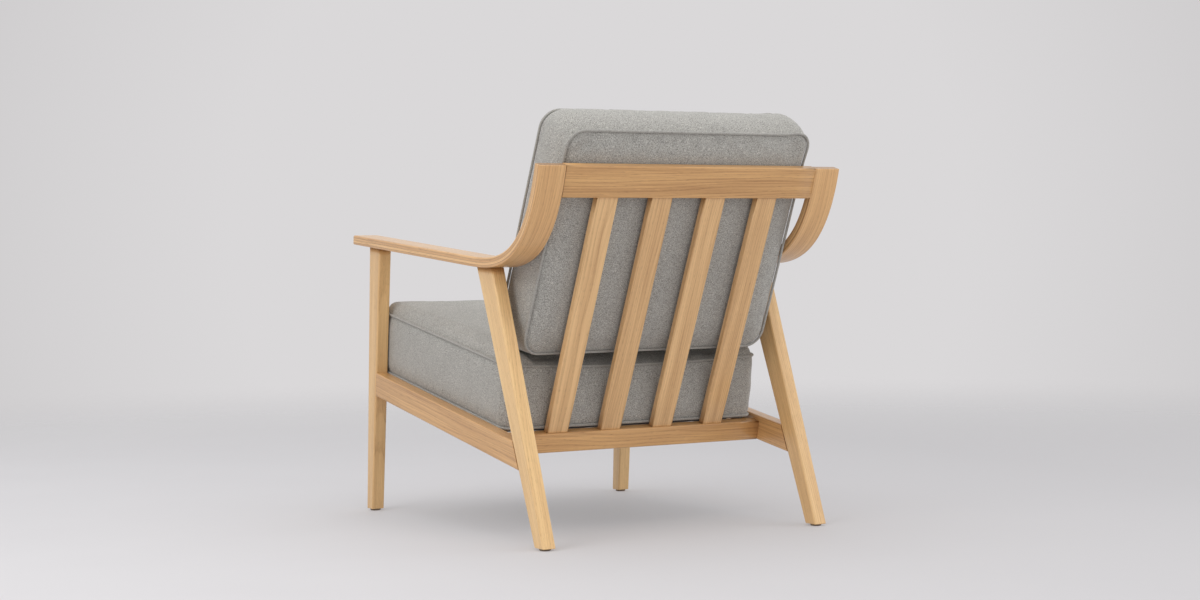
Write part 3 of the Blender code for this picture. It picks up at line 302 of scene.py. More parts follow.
def wool(name, base, dark_k=1.0, weave=0.0011, fleck=1.0):
    """Heathered wool cloth.  weave is a corner attribute with (u, v) in metres."""
    N = Nodes(name)
    o = N.objco()
    uv = N.attr("weave")
    u, v = N.sep(uv)[0:2]
    # yarns: a basket of over-and-under crossings
    jit = N.math("MULTIPLY", N.math("SUBTRACT", N.noise(N.scaled(uv, (160, 160, 160)), 1.0, 2.0, 0.6), 0.5), 0.0011)
    uu = N.math("MULTIPLY", N.math("ADD", u, jit), pi / weave)
    vv = N.math("MULTIPLY", N.math("SUBTRACT", v, jit), pi / weave)
    warp = N.math("ABSOLUTE", N.math("SINE", uu))
    weft = N.math("ABSOLUTE", N.math("SINE", vv))
    cross = N.math("MULTIPLY", N.math("SINE", uu), N.math("SINE", vv))
    over = N.math("GREATER_THAN", cross, 0.0)
    yarn = N.mix(over, warp, weft)
    # felted surface: flecks of lighter and darker wool at fibre and yarn scale
    fl1 = N.noise(N.scaled(o, (900, 900, 900)), 1.0, 2.0, 0.7)
    fl2 = N.noise(N.scaled(o, (520, 520, 520), (3.1, 1.7, 0.3)), 1.0, 1.0, 0.5)
    fl3 = N.noise(N.scaled(o, (95, 95, 95), (0.4, 5.2, 2.2)), 1.0, 2.0, 0.5)
    fl4 = N.noise(N.scaled(o, (9, 9, 9)), 1.0, 2.0, 0.5)
    f = N.math("MULTIPLY", N.math("SUBTRACT", fl1, 0.5), 1.3 * fleck)
    f = N.math("ADD", f, N.math("MULTIPLY", N.math("SUBTRACT", fl2, 0.5), 1.15 * fleck))
    f = N.math("ADD", f, N.math("MULTIPLY", N.math("SUBTRACT", fl3, 0.5), 0.14 * fleck))
    f = N.math("ADD", f, N.math("MULTIPLY", N.math("SUBTRACT", fl4, 0.5), 0.10))
    f = N.math("ADD", f, 0.5, clamp=True)
    b = scale3(base, dark_k)
    col = N.ramp(f, [(0.0, scale3(b, 0.30)), (0.30, scale3(b, 0.72)), (0.5, scale3(b, 1.0)), (0.72, scale3(b, 1.32)), (1.0, scale3(b, 2.1))])
    shade = N.range(yarn, 0.0, 1.0, 0.80, 1.06)
    col = N.mix(1.0, col, N.comb(shade, shade, shade), "MULTIPLY")
    fuzz = N.noise(N.scaled(o, (1500, 1500, 1500)), 1.0, 3.0, 0.7)
    h = N.math("ADD", N.math("MULTIPLY", yarn, 0.7), N.math("MULTIPLY", fuzz, 0.8))
    N.done(Base_Color=col, Roughness=0.96, Normal=N.bump(h, 0.00035, 0.55))
    N.bsdf.inputs["Sheen Weight"].default_value = 0.22
    N.bsdf.inputs["Sheen Roughness"].default_value = 0.55
    N.bsdf.inputs["Specular IOR Level"].default_value = 0.18
    return N.m


def webbing_mat():
    N = Nodes("mat_webbing")
    uv = N.attr("weave")
    u, v = N.sep(uv)[0:2]
    rib = N.math("ABSOLUTE", N.math("SINE", N.math("MULTIPLY", v, pi / 0.0032)))
    tooth = N.math("ABSOLUTE", N.math("SINE", N.math("MULTIPLY", u, pi / 0.0011)))
    nz = N.noise(N.scaled(uv, (700, 700, 700)), 1.0, 2.0, 0.6)
    h = N.math("ADD", N.math("MULTIPLY", rib, 0.7), N.math("MULTIPLY", tooth, 0.35))
    f = N.math("ADD", N.math("MULTIPLY", h, 0.6), N.math("MULTIPLY", nz, 0.5), clamp=True)
    stripe = N.math("LESS_THAN", N.math("ABSOLUTE", N.math("SUBTRACT", N.math("ABSOLUTE", v), 0.019)), 0.0012)
    col = N.ramp(f, [(0.0, srgb(14, 14, 15)), (0.6, srgb(38, 38, 40)), (1.0, srgb(66, 66, 68))])
    col = N.mix(N.math("MULTIPLY", stripe, 0.8), col, srgb(120, 118, 112))
    N.done(Base_Color=col, Roughness=0.82, Normal=N.bump(h, 0.0006, 0.7))
    return N.m


def steel(name, tint=(0.60, 0.60, 0.61), rough=0.34):
    N = Nodes(name)
    o = N.objco()
    nz = N.noise(N.scaled(o, (500, 500, 40)), 1.0, 3.0, 0.6)
    spot = N.noise(N.scaled(o, (120, 120, 120)), 1.0, 3.0, 0.6)
    col = N.mix(N.range(spot, 0.35, 0.7, 0.0, 0.35), tint, scale3(tint, 0.72))
    N.done(Base_Color=col, Roughness=N.range(nz, 0.2, 0.8, rough - 0.08, rough + 0.16), Normal=N.bump(nz, 0.00005, 0.4))
    N.bsdf.inputs["Metallic"].default_value = 1.0
    return N.m


def plastic(name, rgb, rough=0.5):
    N = Nodes(name)
    o = N.objco()
    nz = N.noise(N.scaled(o, (1400, 1400, 1400)), 1.0, 2.0, 0.6)
    scuff = N.noise(N.scaled(o, (90, 300, 90)), 1.0, 4.0, 0.7)
    col = N.mix(N.range(scuff, 0.55, 0.75, 0.0, 0.5), rgb, scale3(rgb, 1.9))
    N.done(Base_Color=col, Roughness=N.range(scuff, 0.3, 0.8, rough, rough + 0.2), Normal=N.bump(nz, 0.00006, 0.5))
    return N.m


def beech(name):
    N = Nodes(name)
    g = N.attr("grain")
    streak = N.noise(N.scaled(g, (500, 500, 12)), 1.0, 3.0, 0.6)
    fleck = N.range(N.noise(N.scaled(g, (1200, 1200, 260)), 1.0, 1.0, 0.5), 0.62, 0.70, 0.0, 1.0)
    band = N.noise(N.scaled(g, (60, 60, 3)), 1.0, 2.0, 0.5)
    endg = N.attr("endg", vector=False)
    f = N.math("ADD", N.math("MULTIPLY", streak, 0.5), N.math("MULTIPLY", band, 0.5), clamp=True)
    col = N.ramp(f, [(0.3, srgb(186, 148, 112)), (0.5, srgb(208, 173, 136)), (0.7, srgb(222, 190, 154))])
    col = N.mix(N.math("MULTIPLY", fleck, 0.45), col, srgb(150, 108, 74))
    col = N.mix(N.math("MULTIPLY", endg, 0.35), col, srgb(160, 120, 86))
    N.done(Base_Color=col, Roughness=0.68, Normal=N.bump(f, 0.0002, 0.4))
    return N.m


# =============================================================== mesh helpers
def link(name, me):
    ob = bpy.data.objects.new(name, me)
    bpy.context.scene.collection.objects.link(ob)
    return ob


def rounded_quad(corners, r, seg=5):
    out = []
    rs = r if isinstance(r, (tuple, list)) else (r, r, r, r)
    for i in range(4):
        c = Vector(corners[i])
        u = (Vector(corners[i - 1]) - c).normalized()
        v = (Vector(corners[(i + 1) % 4]) - c).normalized()
        for k in range(seg + 1):
            q = k / seg * pi / 2
            out.append(c + u * rs[i] * (1 - sin(q)) + v * rs[i] * (1 - cos(q)))
    return out


def skin(name, rings, grain, mat, tone=0.0, ends=(True, True), end_rings=3, wn=True):
    """Skin rings into a solid.  grain is one (across, through, along) triple per
    point, or a function of the point.  The caps are flagged as end grain."""
    bm = bmesh.new()
    la = bm.verts.layers.float_vector.new("grain")
    lt = bm.verts.layers.float.new("tone")
    le = bm.faces.layers.float.new("endg")
    vs = []
    for i, ring in enumerate(rings):
        row = []
        for j, p in enumerate(ring):
            v = bm.verts.new(p)
            v[la] = grain(Vector(p)) if callable(grain) else grain[i][j]
            v[lt] = tone
            row.append(v)
        vs.append(row)
    n = len(vs[0])
    for a, b in zip(vs[:-1], vs[1:]):
        for j in range(n):
            q = (j + 1) % n
            bm.faces.new((a[j], a[q], b[q], b[j]))
    f0 = bm.faces.new(list(reversed(vs[0])))
    f1 = bm.faces.new(vs[-1])
    for f, on in ((f0, ends[0]), (f1, ends[1])):
        f[le] = 1.0 if on else 0.0
    bmesh.ops.recalc_face_normals(bm, faces=bm.faces)
    me = bpy.data.meshes.new(name)
    bm.to_mesh(me)
    bm.free()
    me.materials.append(mat)
    me.shade_smooth()
    ob = link(name, me)
    if wn:
        m = ob.modifiers.new("normals", "WEIGHTED_NORMAL")
        m.mode, m.weight, m.keep_sharp = "FACE_AREA", 60, False
    return ob


def cut_with(ob, prism_sets, grain, name):
    """Boolean-cut boxes and prisms out of a piece; cut faces keep the grain field."""
    bm = bmesh.new()
    la = bm.verts.layers.float_vector.new("grain")
    bm.verts.layers.float.new("tone")
    bm.faces.layers.float.new("endg")
    for lo, hi in prism_sets:
        vs = [[bm.verts.new(p) for p in ring] for ring in (lo, hi)]
        for row in vs:
            for v in row:
                v[la] = grain(v.co)
        n = len(vs[0])
        for j in range(n):
            q = (j + 1) % n
            bm.faces.new((vs[0][j], vs[0][q], vs[1][q], vs[1][j]))
        bm.faces.new(list(reversed(vs[0])))
        bm.faces.new(vs[1])
    bmesh.ops.recalc_face_normals(bm, faces=bm.faces)
    me = bpy.data.meshes.new(name)
    bm.to_mesh(me)
    bm.free()
    c = link(name, me)
    m = ob.modifiers.new("cut", "BOOLEAN")
    m.operation, m.solver, m.object = "DIFFERENCE", "EXACT", c
    # apply, so the cutter can go
    ob.modifiers.remove(ob.modifiers["normals"]) if "normals" in ob.modifiers else None
    bake(ob)
    bpy.data.objects.remove(c, do_unlink=True)
    ob.data.shade_smooth()
    ob.data.set_sharp_from_angle(angle=radians(40))
    m = ob.modifiers.new("normals", "WEIGHTED_NORMAL")
    m.mode, m.weight, m.keep_sharp = "FACE_AREA", 60, True
    return ob


def bake(ob):
    """Replace the mesh by its modified result and drop the modifiers."""
    dg = bpy.context.evaluated_depsgraph_get()
    me = bpy.data.meshes.new_from_object(ob.evaluated_get(dg), preserve_all_data_layers=True, depsgraph=dg)
    ob.modifiers.clear()
    old = ob.data
    ob.data = me
    bpy.data.meshes.remove(old)


def frame_grain(o, ex, ey, ez, off=(0, 0, 0)):
    o, ex, ey, ez = Vector(o), Vector(ex), Vector(ey), Vector(ez)
    return lambda p: ((p - o).dot(ex) + off[0], (p - o).dot(ey) + off[1], (p - o).dot(ez) + off[2])


# end rounding: pairs of (inset, setback) along a quarter circle
def ease(r, k=3):
    return [(r * (1 - cos(q)), r * (1 - sin(q))) for q in [pi / 2 * (1 - i / k) for i in range(k + 1)]]


# =============================================================== timber
OAK_LIGHT, OAK_DARK = srgb(232, 194, 146), srgb(170, 120, 72)
MAT_ARM = oak("mat_arm_oak", srgb(226, 180, 124), srgb(160, 106, 58), 1.0, plies=True, ring=0.0046, centre=(0.02, -0.24), contrast=1.0)
MAT_LEG = oak("mat_leg_oak", srgb(238, 198, 140), srgb(176, 126, 74), 2.0, ring=0.0030, centre=(0.09, -0.05), contrast=0.8, curl=0.6)
MAT_RAIL = oak("mat_rail_oak", srgb(218, 170, 112), srgb(148, 98, 54), 3.0, ring=0.0042, centre=(0.03, -0.10), contrast=1.05)
MAT_SLAT = oak("mat_slat_oak", srgb(234, 192, 138), srgb(164, 114, 66), 4.0, ring=0.0040, centre=(-0.01, -0.16), contrast=0.95)


def rides(ob, body, nodes):
    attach(ob, body)
    if nodes:
        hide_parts(*nodes)
    return ob


# ---- arm curve
ARM_Y1, ARM_Z1 = ARM_BEND_Y, ARM_Z_FRONT - tan(ARM_SLOPE) * (ARM_BEND_Y - ARM_Y_FRONT)


def arm_rear(t):
    if t <= 1.0:
        return Vector((ARM_Y_FRONT + (ARM_Y1 - ARM_Y_FRONT) * t, ARM_Z_FRONT + (ARM_Z1 - ARM_Z_FRONT) * t))
    s = t - 1.0
    p0 = Vector((ARM_Y1, ARM_Z1))
    p1 = p0 + Vector((cos(ARM_SLOPE), -sin(ARM_SLOPE))) * ARM_HANDLE_1
    p3 = Vector(ARM_END)
    p2 = p3 - Vector((sin(ARM_RAKE), cos(ARM_RAKE))) * ARM_HANDLE_2
    return p0 * (1 - s) ** 3 + p1 * (3 * (1 - s) ** 2 * s) + p2 * (3 * (1 - s) * s * s) + p3 * s ** 3


def arm_normal(t):
    e = 1e-4
    d = (arm_rear(t + e) - arm_rear(max(t - e, 0.0))).normalized()
    return Vector((-d[1], d[0]))


def bisect(f, lo, hi, target, n=50):
    for _ in range(n):
        mid = (lo + hi) / 2
        if f(mid) < target:
            lo = mid
        else:
            hi = mid
    return lo


def arm_t_at_z(z):
    return bisect(lambda t: arm_rear(t)[1], 1.3, 2.0, z)


def arm_t_at_y(y):
    return bisect(lambda t: arm_rear(t)[0], 0.0, 1.7, y)


ARM_T_TOP = arm_t_at_z(ARM_TOP_Z)
ARM_TABLE = [0.0]
ARM_STEPS = 600
for _i in range(ARM_STEPS):
    a_, b_ = arm_rear(ARM_T_TOP * _i / ARM_STEPS), arm_rear(ARM_T_TOP * (_i + 1) / ARM_STEPS)
    ARM_TABLE.append(ARM_TABLE[-1] + (b_ - a_).length)
ARM_LEN = ARM_TABLE[-1]


def arm_t_at_s(s):
    return float(np.interp(s, ARM_TABLE, np.linspace(0.0, ARM_T_TOP, ARM_STEPS + 1)))


def arm_piece(word, side):
    rings, grain = [], []
    r_up, r_low = 0.0036, 0.0028
    e = ease(0.0022, 4)
    stations = [(s, i) for i, s in e]
    flat = (arm_rear(1.0) - arm_rear(0.0)).length
    stations += [(s, 0.0) for s in np.linspace(0.02, flat - 0.004, 26)]
    stations += [(s, 0.0) for s in np.linspace(flat, ARM_LEN - 0.004, 76)]
    stations += [(ARM_LEN - s, i) for i, s in reversed(ease(0.0012, 3))]
    for s, inset in stations:
        t = arm_t_at_s(s)
        a, n = arm_rear(t), arm_normal(t)
        lo, hi = a + n * inset, a + n * (ARM_T - inset)
        x0, x1 = ARM_X_IN + inset, ARM_X_OUT - inset
        if side < 0:
            x0, x1 = -x1, -x0
        rr_ = [max(r_low - inset, 0.0006)] * 2 + [max(r_up - inset, 0.0006)] * 2
        ring = rounded_quad([v3(x0, lo), v3(x1, lo), v3(x1, hi), v3(x0, hi)], rr_, 5)
        rings.append(ring)
        off = 0.311 * side
        grain.append([(p.x * side - 0.31 + off, Vector((p.y - a[0], p.z - a[1])).dot(n), s + off * 3) for p in ring])
    ob = skin(word + "_arm_oak", rings, grain, MAT_ARM, tone=0.02 if side > 0 else -0.04)
    return rides(ob, "frame", [word + "_arm"])


for word, side in SIDES:
    arm_piece(word, side)

# ---- legs
def leg_y(c, z):
    return c[0] + c[1] * z


def arm_under(y):
    """Height of the arm's underside over y."""
    return arm_rear(arm_t_at_y(y))[1]


def leg_piece(name, side, front, rear, tone, seed):
    x0, x1 = sorted((side * LEG_X_IN, side * LEG_X_OUT))
    o = Vector(((x0 + x1) / 2, leg_y(front, 0.3), 0.0))
    ez = (Vector((0, front[1], 1)) + Vector((0, rear[1], 1))).normalized()
    ey = EX.cross(ez) * -1
    grain = frame_grain(o, EX * side, ey, ez, (seed * 0.07, seed * 0.013, seed * 1.9))
    rings = []
    r = 0.0031
    for inset, setback in ease(0.0016, 3):
        z = FOOT_Z + setback
        f, b = (leg_y(front, z) + inset, z), (leg_y(rear, z) - inset, z)
        rings.append(rounded_quad([v3(x0 + inset, f), v3(x1 - inset, f), v3(x1 - inset, b), v3(x0 + inset, b)], max(r - inset, 0.0008), 5))
    base = rings[-1]
    z0 = FOOT_Z + 0.0016
    # the top follows the underside of the arm
    tops = []
    for p in base:
        w = (p.y - leg_y(front, z0)) / (leg_y(rear, z0) - leg_y(front, z0))
        at = lambda z, w=w: leg_y(front, z) + (leg_y(rear, z) - leg_y(front, z)) * w
        lo, hi = 0.40, 0.66
        for _ in range(40):
            mid = (lo + hi) / 2
            if mid < arm_under(at(mid)) - GAP:
                lo = mid
            else:
                hi = mid
        tops.append((w, lo))
    for k in (0.04, 0.2, 0.4, 0.6, 0.8, 0.97, 1.0):
        ring = []
        for p, (w, zt) in zip(base, tops):
            z = z0 + (zt - z0) * k
            y = leg_y(front, z) + (leg_y(rear, z) - leg_y(front, z)) * w
            # each point keeps its x and its share of the depth, so the corners stretch with the taper
            ring.append(Vector((p.x, y, z)))
        rings.append(ring)
    ob = skin(name + "_oak", rings, grain, MAT_LEG, tone=tone)
    return rides(ob, "frame", [name])


leg_piece("front_left_leg", 1, FRONT_LEG_FRONT, FRONT_LEG_REAR, 0.10, 1)
leg_piece("front_right_leg", -1, FRONT_LEG_FRONT, FRONT_LEG_REAR, 0.04, 2)
leg_piece("rear_left_leg", 1, REAR_LEG_FRONT, REAR_LEG_REAR, -0.06, 3)
leg_piece("rear_right_leg", -1, REAR_LEG_FRONT, REAR_LEG_REAR, 0.10, 4)

# ---- rails
def seat_point(x, s, n):
    return Vector((x, s * cos(SEAT_SLOPE) + n * sin(SEAT_SLOPE), SEAT_Z0 - s * sin(SEAT_SLOPE) + n * cos(SEAT_SLOPE)))


SEAT_ES = Vector((0, cos(SEAT_SLOPE), -sin(SEAT_SLOPE)))
SEAT_EN = Vector((0, sin(SEAT_SLOPE), cos(SEAT_SLOPE)))


def seat_local(p):
    y, z = p.y, p.z - SEAT_Z0
    return (p.x, y * cos(SEAT_SLOPE) - z * sin(SEAT_SLOPE), y * sin(SEAT_SLOPE) + z * cos(SEAT_SLOPE))


def on_rail(n, c, off):
    p = seat_point(0, 0, n)
    return meet((p.y, p.z), (SEAT_ES.y, SEAT_ES.z), (c[0] + off, 0.0), (c[1], 1.0))


def kerf(u, w):
    return (LEG_X_IN + u * cos(KERF_ANGLE) + w * sin(KERF_ANGLE), STRAP_N - u * sin(KERF_ANGLE) + w * cos(KERF_ANGLE))


for word, side in SIDES:
    x0, x1 = sorted((side * LEG_X_IN, side * LEG_X_OUT))
    grain = frame_grain((0.31 * side, 0, SEAT_Z0), EX * side, SEAT_EN, SEAT_ES, (0.05 * side, 0.0, 3.3 + side))
    ends = []
    for c, off in ((FRONT_LEG_REAR, GAP), (REAR_LEG_FRONT, -GAP)):
        t, b = on_rail(0.0, c, off), on_rail(-RAIL_H, c, off)
        ends.append(rounded_quad([v3(x0, b), v3(x1, b), v3(x1, t), v3(x0, t)], 0.0028, 5))
    rings = [[p.lerp(q, k) for p, q in zip(*ends)] for k in (0.0, 0.02, 0.25, 0.5, 0.75, 0.98, 1.0)]
    ob = skin(word + "_side_rail_oak", rings, grain, MAT_RAIL, tone=0.02)
    prisms = []
    for s in STRAP_S:
        half = STRAP_W / 2 + 0.001
        prof = [kerf(-0.004, -KERF_H / 2), kerf(KERF_L, -KERF_H / 2), kerf(KERF_L, KERF_H / 2), kerf(-0.004, KERF_H / 2)]
        prisms.append(tuple([seat_point(side * x, s + e, n) for x, n in prof] for e in (-half, half)))
    cut_with(ob, prisms, grain, "cutter")
    rides(ob, "frame", [word + "_side_rail"])


def beam(name, corners, half, r, mat, tone, origin, ey, ez, node, seed, eased=0.0):
    """Rail along X with section corners in (y, z); grain runs along X."""
    grain = frame_grain(v3(0, origin), ey, ez, EX, (seed * 0.03, seed * 0.011, seed * 1.3))
    rings = [rounded_quad([v3(x, c) for c in corners], r, 5) for x in np.linspace(-half, half, 13)]
    ob = skin(name, rings, grain, mat, tone=tone)
    return rides(ob, "frame", [node])


y0, y1 = FRONT_RAIL_Y
zf, zr = [SEAT_Z0 - tan(SEAT_SLOPE) * y - FRONT_RAIL_DROP for y in (y0, y1)]
beam("front_seat_rail_oak", [(y0, FRONT_RAIL_Z0), (y1, FRONT_RAIL_Z0), (y1, zr), (y0, zf)], LEG_X_IN - GAP, 0.0028,
     MAT_RAIL, 0.0, (y0, FRONT_RAIL_Z0), EZ, EY, "front_seat_rail", 1)

RR_O = Vector(REAR_RAIL_EDGE)
RR_U = Vector((-cos(REAR_RAIL_TILT), sin(REAR_RAIL_TILT)))
RR_V = Vector((-sin(REAR_RAIL_TILT), -cos(REAR_RAIL_TILT)))


def rr(u, v):
    return RR_O + RR_U * u + RR_V * v


# painted shade: the rear rail's tone of 0.10, darker than the other rails, darkens it for the shade it sits in under
# the seat
beam("rear_seat_rail_oak", [rr(0, 0), rr(REAR_RAIL_T, 0), rr(REAR_RAIL_T, REAR_RAIL_H), rr(0, REAR_RAIL_H)], LEG_X_IN - GAP,
     0.0034, MAT_RAIL, 0.10, RR_O, v3(0, RR_V), v3(0, RR_U), "rear_seat_rail", 2)

TR_A, TR_B = arm_rear(arm_t_at_z(TOP_RAIL_Z)), arm_rear(ARM_T_TOP)
TR_U = (TR_B - TR_A).normalized()
TR_N = Vector((-TR_U[1], TR_U[0]))
TR_H = (TR_B - TR_A).length


def tr(u, n):
    return TR_A + TR_U * u + TR_N * n


beam("top_rail_oak", [tr(0, 0), tr(0, ARM_T), tr(TR_H, ARM_T), tr(TR_H, 0)], ARM_X_IN - GAP, 0.0026,
     MAT_RAIL, 0.06, TR_A, v3(0, TR_U), v3(0, TR_N), "top_rail", 3)

# ---- slats
SL_T = Vector((sin(SLAT_RAKE), cos(SLAT_RAKE)))
SL_M = Vector((-cos(SLAT_RAKE), sin(SLAT_RAKE)))
SL_O = Vector(SLAT_REAR)
SLAT_X = [SLAT_PITCH * k for k in (1.5, 0.5, -0.5, -1.5)]


def on_slat(d, q, e):
    return Vector(meet(SL_O + SL_M * d, SL_T, q, e))


for k, x in enumerate(SLAT_X):
    hw = SLAT_W / 2
    ends = []
    for q, e in ((RR_O - RR_V * GAP, RR_U), (TR_A - TR_U * GAP, TR_N)):
        f0, f1 = on_slat(0, q, e), on_slat(SLAT_T, q, e)
        ends.append(rounded_quad([v3(x - hw, f0), v3(x + hw, f0), v3(x + hw, f1), v3(x - hw, f1)], 0.0024, 5))
    grain = frame_grain(v3(x, SL_O), EX, v3(0, SL_M), v3(0, SL_T), (0.043 * (k + 1), 0.0, 1.7 * k + 0.4))
    rings = [[p.lerp(q, w) for p, q in zip(*ends)] for w in np.linspace(0, 1, 9)]
    ob = skin("back_slat_%d_oak" % (k + 1), rings, grain, MAT_SLAT, tone=(-0.04, 0.12, 0.06, 0.15)[k])
    rides(ob, "frame", ["back_slat_%d" % (k + 1)])

# =============================================================== small parts
MAT_WEB = webbing_mat()
for k, s in enumerate(STRAP_S):
    # centre line of the band: up out of the kerf, then sagging across
    path = [(-x, n) for x, n in (kerf(CLIP_L - 0.0012, 0.0), kerf(0.008, 0.0), kerf(0.0024, 0.0), kerf(0.0010, 0.0001))]
    mids = np.linspace(-0.2945, 0.2945, 41)
    path += [(x, STRAP_N - STRAP_SAG * (1 - (x / 0.2945) ** 2)) for x in mids]
    path += [(-x, n) for x, n in reversed(path[:4])]
    bm = bmesh.new()
    lw = bm.loops.layers.float_vector.new("weave")
    rows, run, acc = [], [], 0.0
    hw, ht = STRAP_W / 2, STRAP_T / 2
    for i, (x, n) in enumerate(path):
        a, b = path[max(i - 1, 0)], path[min(i + 1, len(path) - 1)]
        d = Vector((b[0] - a[0], b[1] - a[1])).normalized()
        nn = Vector((-d[1], d[0]))
        if i:
            acc += (Vector(path[i]) - Vector(path[i - 1])).length
        run.append(acc)
        sec = []
        for w, h in ([(-hw + 0.0006, -ht)] + [(v, -ht) for v in np.linspace(-hw * 0.9, hw * 0.9, 9)] + [(hw - 0.0006, -ht), (hw, 0.0), (hw - 0.0006, ht)]
                     + [(v, ht) for v in np.linspace(hw * 0.9, -hw * 0.9, 9)] + [(-hw + 0.0006, ht), (-hw, 0.0)]):
            sec.append((w, bm.verts.new(seat_point(x + nn[0] * h, s + w, n + nn[1] * h))))
        rows.append(sec)
    m_ = len(rows[0])
    for i in range(len(rows) - 1):
        for j in range(m_):
            q = (j + 1) % m_
            quad = ((i, j), (i, q), (i + 1, q), (i + 1, j))
            f = bm.faces.new([rows[a][b][1] for a, b in quad])
            for lp, (a, b) in zip(f.loops, quad):
                lp[lw] = (run[a], rows[a][b][0], 0)
    bm.faces.new([v[1] for v in reversed(rows[0])])
    bm.faces.new([v[1] for v in rows[-1]])
    bmesh.ops.recalc_face_normals(bm, faces=bm.faces)
    me = bpy.data.meshes.new("seat_strap_%d_web" % (k + 1))
    bm.to_mesh(me)
    bm.free()
    me.materials.append(MAT_WEB)
    me.shade_smooth()
    me.set_sharp_from_angle(angle=radians(50))
    ob = link(me.name, me)
    rides(ob, "frame", ["seat_strap_%d" % (k + 1)])


def dress(prefixes, mat):
    for n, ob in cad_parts.items():
        if n.startswith(prefixes[0]) and n.endswith(prefixes[1]):
            if ob.data.materials:
                for i in range(len(ob.data.materials)):
                    ob.data.materials[i] = mat
            else:
                ob.data.materials.append(mat)


MAT_CLIP = steel("mat_clip_steel", (0.56, 0.56, 0.57), 0.36)
MAT_SCREW = steel("mat_screw_steel", (0.62, 0.60, 0.55), 0.30)
MAT_GLIDE = plastic("mat_glide", srgb(112, 92, 70), 0.48)


def block_wood():
    N = Nodes("mat_block_beech")
    o = N.objco()
    streak = N.noise(N.scaled(o, (14, 520, 520)), 1.0, 3.0, 0.6)
    fleck = N.range(N.noise(N.scaled(o, (240, 1300, 1300)), 1.0, 1.0, 0.5), 0.60, 0.68, 0.0, 1.0)
    band = N.noise(N.scaled(o, (4, 70, 70)), 1.0, 2.0, 0.5)
    f = N.math("ADD", N.math("MULTIPLY", streak, 0.5), N.math("MULTIPLY", band, 0.5), clamp=True)
    col = N.ramp(f, [(0.3, srgb(190, 150, 112)), (0.5, srgb(210, 174, 136)), (0.7, srgb(224, 192, 156))])
    col = N.mix(N.math("MULTIPLY", fleck, 0.5), col, srgb(150, 108, 74))
    return N.done(Base_Color=col, Roughness=0.70, Normal=N.bump(f, 0.0003, 0.4))


MAT_BLOCK = block_wood()
for n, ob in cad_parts.items():
    mat = None
    if n.startswith("strap_clip"):
        mat = MAT_CLIP
    elif "block_screw" in n or n.endswith("zip_puller"):
        mat = MAT_SCREW
    elif n.endswith("corner_block"):
        mat = MAT_BLOCK
    elif n.endswith("glide"):
        mat = MAT_GLIDE
    if mat is not None:
        if len(ob.data.materials):
            for i in range(len(ob.data.materials)):
                ob.data.materials[i] = mat
        else:
            ob.data.materials.append(mat)

# =============================================================== cushions
WOOL = srgb(166, 163, 157)
MAT_WOOL = wool("mat_wool", WOOL)
# painted shade: the piping cloth is 2% darker than the panels, for the dark line of shade along the seams
MAT_PIPE = wool("mat_wool_piping", WOOL, dark_k=0.98, weave=0.0009, fleck=0.6)


def place_seat(x, c, h, side):
    # the top seam is pressed down a little in the middle of the rear
    t = clamp01((c - 0.02) / 0.15)
    sag = 0.0075 * max(1 - (x / 0.27) ** 2, 0.0) * t * t * (3 - 2 * t) * clamp01(h / SEAT_N[1])
    return seat_point(x, c, h - sag)


def place_back(x, a, d, side):
    w = (d - BACK_D[0]) / (BACK_D[1] - BACK_D[0])
    lowness = clamp01((BACK_A[1] - a) / (BACK_A[1] - BACK_A[0]))
    a2 = a - BACK_BOTTOM_DROP * w * lowness ** 2
    if side:
        a2 += 0.016 * side * clamp01((a - (BACK_A[1] - 0.03)) / 0.03)
    # one upper corner is stuffed harder than the other
    k = 0.0050 * exp(-((x + 0.262) ** 2 + (a - 0.610) ** 2) / 0.0011)
    p = SL_O + SL_T * (a2 + k) + SL_M * d
    return Vector((x - k, p[0], p[1]))


def back_local(p):
    q = Vector((p.y, p.z)) - SL_O
    return (p.x, q.dot(SL_T), q.dot(SL_M))


PIPE_R = 0.0027
SEAM_IN = 0.0022


